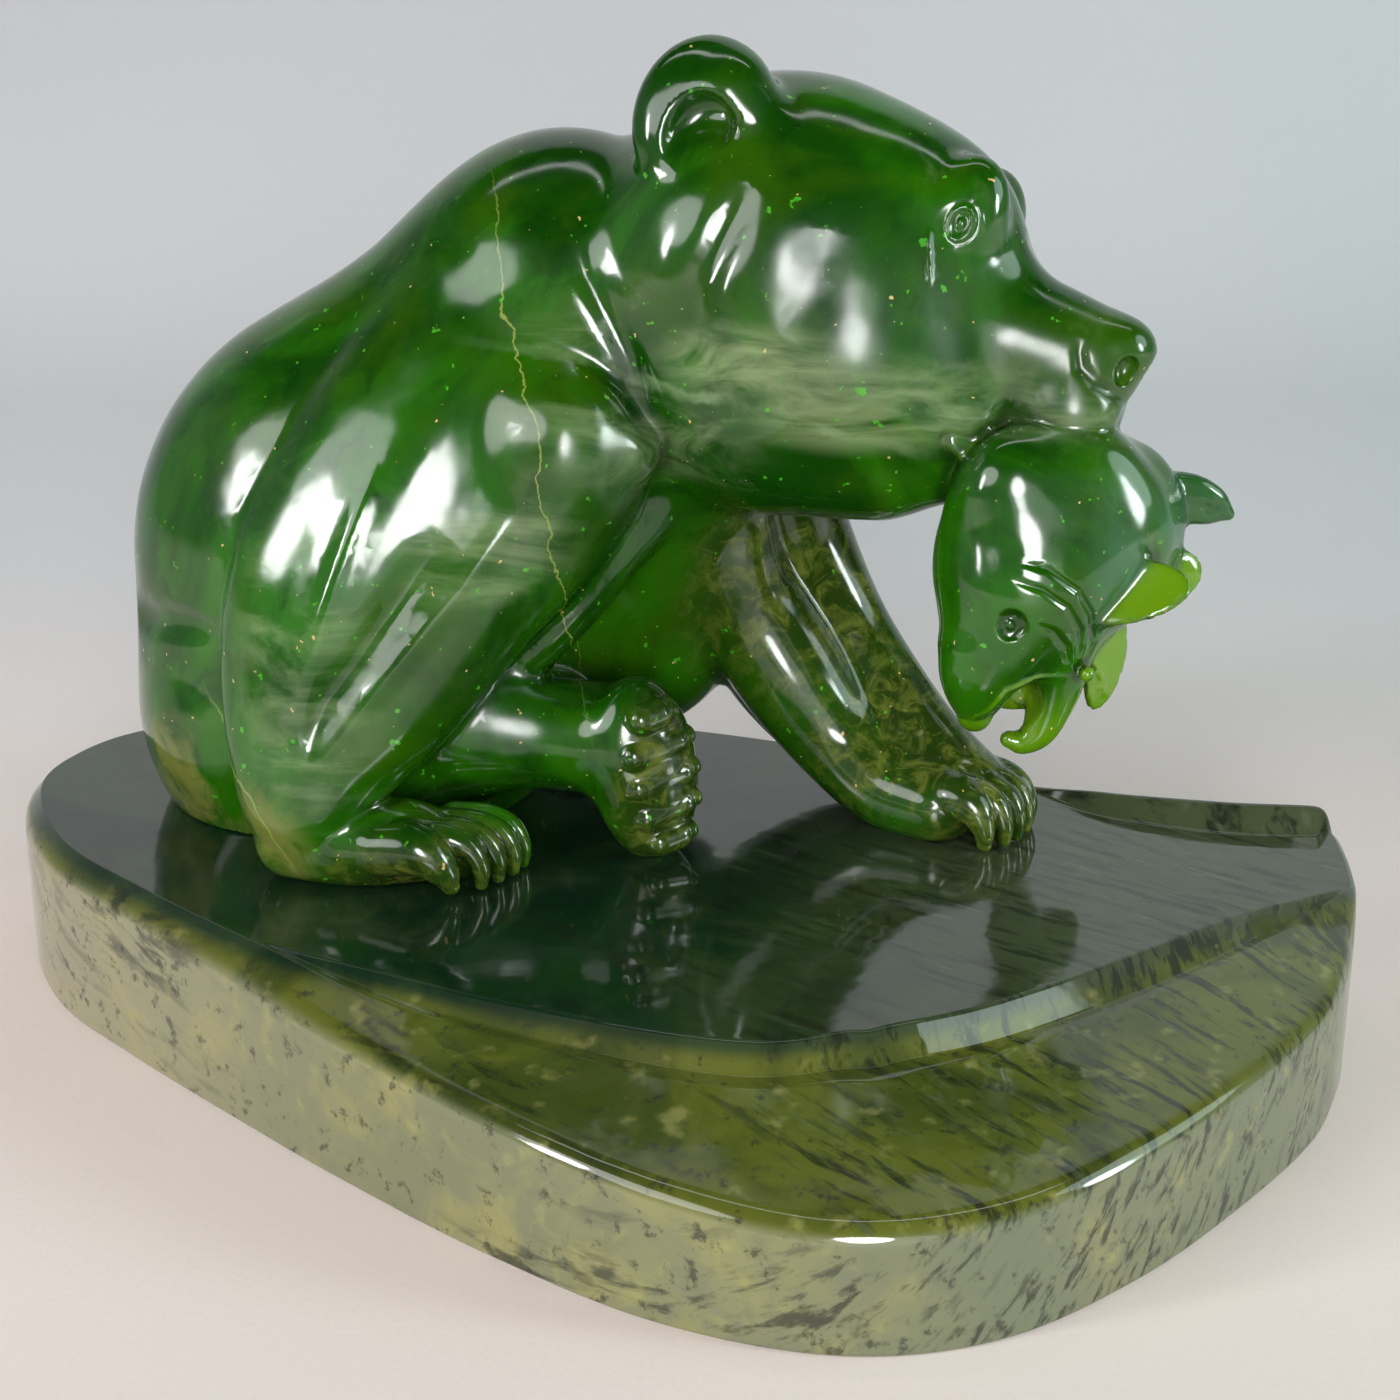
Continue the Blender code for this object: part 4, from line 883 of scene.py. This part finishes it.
def around(values, steady=False):
    """A closed smooth line through the values; a steady one never passes beyond them."""
    rise = np.roll(values, -1, 0) - values
    before = np.roll(rise, 1, 0)
    slope = (rise + before) / 2
    if steady:
        both = rise * before > 0
        slope = np.where(both, 2 * rise * before / np.where(both, rise + before, 1), 0)
    t = (np.arange(PLINTH_STEPS) / PLINTH_STEPS)[None, :, None]
    here, after = values[:, None], np.roll(values, -1, 0)[:, None]
    leave, arrive = slope[:, None], np.roll(slope, -1, 0)[:, None]
    line = here + (after - here) * t * t * (3 - 2 * t) + t * (1 - t) * (leave * (1 - t) - arrive * t)
    return line.reshape(-1, values.shape[1])


def rounded(corners, radii):
    """A profile's corners, as (run, height) rows of arrays, each rounded with four short faces."""
    line, slant = [], []
    for k in range(1, len(corners) - 1):
        at, before, after = corners[k], corners[k - 1] - corners[k], corners[k + 1] - corners[k]
        back, on = np.hypot(*before), np.hypot(*after)
        cut = np.minimum(radii[k - 1], 0.4 * np.minimum(back, on))
        start, end = before * cut / back, after * cut / on
        for t in np.linspace(0, 1, 5):
            line.append(at + start * (1 - t) ** 2 + end * t * t)
            slant.append(end * t - start * (1 - t))
    return line, slant


def plinth_mesh():
    """Rings round the block: underside, wall, slope, ledge and top, closed by two flat faces."""
    edge = np.array(PLINTH_EDGE, float)
    along = np.roll(edge[:, :2], -1, 0) - np.roll(edge[:, :2], 1, 0)
    inward = around(np.stack([-along[:, 1], along[:, 0]], 1) / length(along)[:, None])
    wall = around(edge[:, :2])
    wall_height, slope, ledge_height, ledge, rise = around(edge[:, 2:], steady=True).T
    none = 0 * slope
    run = (none + 6, none, none, slope, slope + ledge, slope + ledge + rise, slope + ledge + rise + 3)
    height = (none, none, wall_height, ledge_height, ledge_height, none + GROUND, none + GROUND)
    line, slant = rounded([np.array(pair) for pair in zip(run, height)], PLINTH_ROUNDING)
    rings = [np.column_stack([wall + inward * across[:, None], up]) for across, up in line]
    normals = [np.column_stack([-inward * up[:, None], across]) for across, up in slant]
    count = len(rings[0])
    faces = [(r * count + i, r * count + (i + 1) % count,
              (r + 1) * count + (i + 1) % count, (r + 1) * count + i)
             for r in range(len(rings) - 1) for i in range(count)]
    faces.append(tuple(range(count))[::-1])
    faces.append(tuple(range((len(rings) - 1) * count, len(rings) * count)))
    verts = (np.concatenate(rings) - CENTRE) / 1000
    mesh = bpy.data.meshes.new("plinth")
    mesh.from_pydata(verts.tolist(), [], faces)
    mesh.shade_smooth()
    normals = np.concatenate(normals)
    normals /= length(normals)[:, None]
    mesh.normals_split_custom_set_from_vertices(normals.tolist())
    return mesh


def plinth_jade():
    """One stone painted as lit and shaded copies picked by height and facing: a near-black top, an olive
    slope and paler walls; yellow clouds, black grain and specks.
    """
    material, tree, shader, at = polished("plinth jade")
    over, both = painter(tree)
    place = put(tree, "SeparateXYZ", {0: at}).outputs
    grain = [put(tree, "VectorMath", {0: at, 1: tuple(np.array(way) * stretch)},
                 operation="DOT_PRODUCT").outputs["Value"]
             for way, stretch in ((GRAIN[:, 0], 1.0), (GRAIN[:, 1], 0.12), (GRAIN[:, 2], 0.3))]
    banded = put(tree, "CombineXYZ", {0: grain[0], 1: grain[1], 2: grain[2]}).outputs[0]
    patchy = cloud(tree, at, 24.0, 4.0, 0.6, 0.8)
    # Where the stone lies below the top, stands upright, or is at the right-hand end.
    low = ease(tree, place[2], 0.0372, 0.0345)
    facing = put(tree, "SeparateXYZ", {0: put(tree, "NewGeometry").outputs["Normal"]}).outputs["Z"]
    side = ease(tree, facing, 0.75, 0.2)
    right = ease(tree, place[0], -0.02, 0.07)

    # Top, slope and wall as painted lit and shaded copies of one stone, then black grain, pale grain to the
    # right, smudges and yellow specks.
    # Painted shade and dark reflection: the polished top is painted near-black.
    top = over(ease(tree, patchy, 0.45, 0.65), (0.022, 0.045, 0.016), (0.006, 0.022, 0.009, 1))
    # Painted reflection: the top greyer towards the right end, as the pale backdrop mirrored at a grazing
    # angle.
    top = over(ease(tree, place[0], 0.0, 0.09), (0.05, 0.065, 0.03), top)
    slope = over(ease(tree, patchy, 0.4, 0.62), (0.10, 0.115, 0.016), (0.045, 0.06, 0.01, 1))
    wall = over(ease(tree, cloud(tree, at, 34.0, 5.0, 0.62, 1.0), 0.44, 0.66), (0.245, 0.235, 0.09),
                (0.17, 0.178, 0.095, 1))
    wall = over(both(right, ease(tree, patchy, 0.35, 0.6)), (0.14, 0.16, 0.095), wall)
    # Painted reflection: the walls paler towards the left, as the white floor mirrored at a grazing angle.
    wall = over(ease(tree, place[0], -0.05, -0.13, 0.6), (0.31, 0.29, 0.18), wall)
    # Painted light and shade: the colour is picked by height and facing, so the same stone is near-black on
    # top and pale on the upright walls.
    colour = tint(tree, side, tint(tree, low, top, slope), wall)
    streak = ease(tree, cloud(tree, banded, 480.0, 4.0, 0.62, 0.3), 0.49, 0.64)
    where = ease(tree, sums(tree, "ADD", cloud(tree, banded, 60.0, 3.0), both(right, 0.16)), 0.46, 0.64)
    colour = over(both(both(streak, where), 0.8), (0.010, 0.014, 0.009), colour)
    pale = ease(tree, cloud(tree, banded, 420.0, 3.0), 0.6, 0.72, 0.35)
    colour = over(both(pale, right), (0.11, 0.15, 0.09), colour)
    smudge = ease(tree, cloud(tree, at, 230.0, 4.0, 0.68), 0.56, 0.68, 0.75)
    colour = over(both(smudge, low), (0.022, 0.024, 0.016), colour)
    yellow = ease(tree, cloud(tree, at, 150.0, 3.0), 0.58, 0.76, 0.45)
    colour = over(both(yellow, low), (0.32, 0.31, 0.10), colour)
    tree.links.new(colour, shader.inputs["Base Color"])
    gloss = put(tree, "MapRange", {"Value": cloud(tree, at, 60.0, 5.0), "From Min": 0.3,
                                   "From Max": 0.8, "To Min": 0.03, "To Max": 0.14}).outputs[0]
    tree.links.new(gloss, shader.inputs["Roughness"])
    bump = put(tree, "Bump", {"Height": cloud(tree, at, 40.0, 3.0), "Strength": 0.12,
                              "Distance": 0.002}).outputs[0]
    tree.links.new(bump, shader.inputs["Normal"])
    return material


finished("jade_plinth", plinth_mesh(), plinth_jade(), "plinth")


# ---------------------------------------------------------------------------------------------
# The table it stands on, the light and the camera: a pale sheet that sweeps up behind, round
# softboxes to the left, in front and to the right, and a dim room for the polish to mirror.
# ---------------------------------------------------------------------------------------------
def sweep():
    """A pale sheet, level under the plinth and curving up behind it, with painted shade and a painted bluish
    cast on it.
    """
    front, bend, radius, top, half_width = -1.5, 0.55, 0.45, 1.6, 2.2
    line = [(front, 0.0), (bend, 0.0)]
    for step in range(1, 13):
        turn = math.radians(7.5 * step)
        line.append((bend + radius * math.sin(turn), radius - radius * math.cos(turn)))
    line.append((bend + radius, top))
    verts = [(x, y, z) for y, z in line for x in (-half_width, half_width)]
    faces = [(2 * i, 2 * i + 1, 2 * i + 3, 2 * i + 2) for i in range(len(line) - 1)]
    mesh = bpy.data.meshes.new("table")
    mesh.from_pydata(verts, [], faces)
    mesh.shade_smooth()
    material = bpy.data.materials.new("table")
    material.use_nodes = True
    tree = material.node_tree
    shader = tree.nodes["Principled BSDF"]
    at = put(tree, "TexCoord").outputs["Object"]
    place = put(tree, "SeparateXYZ", {0: at}).outputs
    # Painted shade and a painted cast of light on one pale sheet: darker towards the camera, greyer behind
    # the plinth, darker again higher up, and bluish-grey far to the right.
    far = ease(tree, place[1], 0.05, 0.4)
    colour = tint(tree, far, (0.84, 0.74, 0.69, 1), (0.70, 0.695, 0.71, 1))
    colour = tint(tree, ease(tree, place[1], -0.06, -0.2), colour, (0.73, 0.65, 0.61, 1))
    colour = tint(tree, ease(tree, place[2], 0.0, 0.14), colour, (0.58, 0.575, 0.59, 1))
    right = sums(tree, "MULTIPLY", far, ease(tree, place[0], -0.1, 0.5, 0.8))
    colour = tint(tree, right, colour, (0.53, 0.59, 0.59, 1))
    colour = tint(tree, ease(tree, cloud(tree, at, 900.0, 1.0), 0.3, 0.8, 0.08), colour,
                  (0.45, 0.42, 0.4, 1))
    tree.links.new(colour, shader.inputs["Base Color"])
    shader.inputs["Roughness"].default_value = 0.8
    mesh.materials.append(material)
    table = bpy.data.objects.new("table", mesh)
    bpy.context.scene.collection.objects.link(table)


sweep()


def softbox(azimuth, elevation, away, width, height, power, colour=(1, 1, 1)):
    """A flat lamp aimed at the carving; azimuth is measured to the right of the camera's side."""
    side, up = math.radians(azimuth), math.radians(elevation)
    lamp = bpy.data.lights.new("softbox", "AREA")
    lamp.shape = "ELLIPSE"
    lamp.size, lamp.size_y = width, height
    lamp.energy = power
    lamp.color = colour
    box = bpy.data.objects.new("softbox", lamp)
    bpy.context.scene.collection.objects.link(box)
    out = np.array([math.sin(side) * math.cos(up), -math.cos(side) * math.cos(up), math.sin(up)])
    box.location = Vector(out * away) + Vector((0, 0.03, 0.1))
    box.rotation_euler = Vector(out).to_track_quat("Z", "Y").to_euler()


# Left, front and right: a small bright lamp in each place, and a wide dim one about it.
for lamp in ((-63, 17, 1.2, 0.15, 0.42, 3.6),
             (-52, 28, 1.4, 0.9, 0.7, 6.5),
             (3, 16, 1.2, 0.34, 0.56, 8.5),
             (8, 8, 1.4, 0.9, 0.8, 2.5),
             (72, 12, 1.2, 0.24, 0.44, 5.0, (0.9, 1.0, 0.98)),
             (84, 25, 1.4, 0.8, 0.8, 4.5, (0.8, 1.0, 0.97))):
    softbox(*lamp)
# A strip above the carving lights the sheet where it rises behind.
lift = bpy.data.lights.new("wall wash", "AREA")
lift.shape = "RECTANGLE"
lift.size, lift.size_y = 1.6, 0.3
lift.energy = 5.0
wash = bpy.data.objects.new("wall wash", lift)
wash.location = (0, 0.25, 1.25)
wash.rotation_euler = (math.radians(60), 0, 0)
bpy.context.scene.collection.objects.link(wash)

# The room is pale all round and dim overhead.
world = bpy.data.worlds.new("room")
world.use_nodes = True
room = world.node_tree
direction = put(room, "TexCoord").outputs["Generated"]
height = put(room, "SeparateXYZ", {0: direction}).outputs["Z"]
band = put(room, "MapRange", {"Value": height, "From Min": 0.35, "From Max": 0.75, "To Min": 1.0,
                              "To Max": 0.06}, interpolation_type="SMOOTHSTEP").outputs["Result"]
room.nodes["Background"].inputs[0].default_value = (0.5, 0.52, 0.55, 1)
room.links.new(sums(room, "MULTIPLY", band, 0.5), room.nodes["Background"].inputs[1])
bpy.context.scene.world = world
bpy.context.scene.view_settings.view_transform = "Standard"

# The camera looks down on the front of the plinth.
camera = bpy.data.cameras.new("camera")
camera.sensor_width = 36.0
camera.lens = 66.857
camera.clip_start = 0.01
view = bpy.data.objects.new("camera", camera)
view.location = (0.0074, -0.48356, 0.26635)
view.rotation_euler = (math.radians(69), 0, 0)
bpy.context.scene.collection.objects.link(view)
bpy.context.scene.camera = view
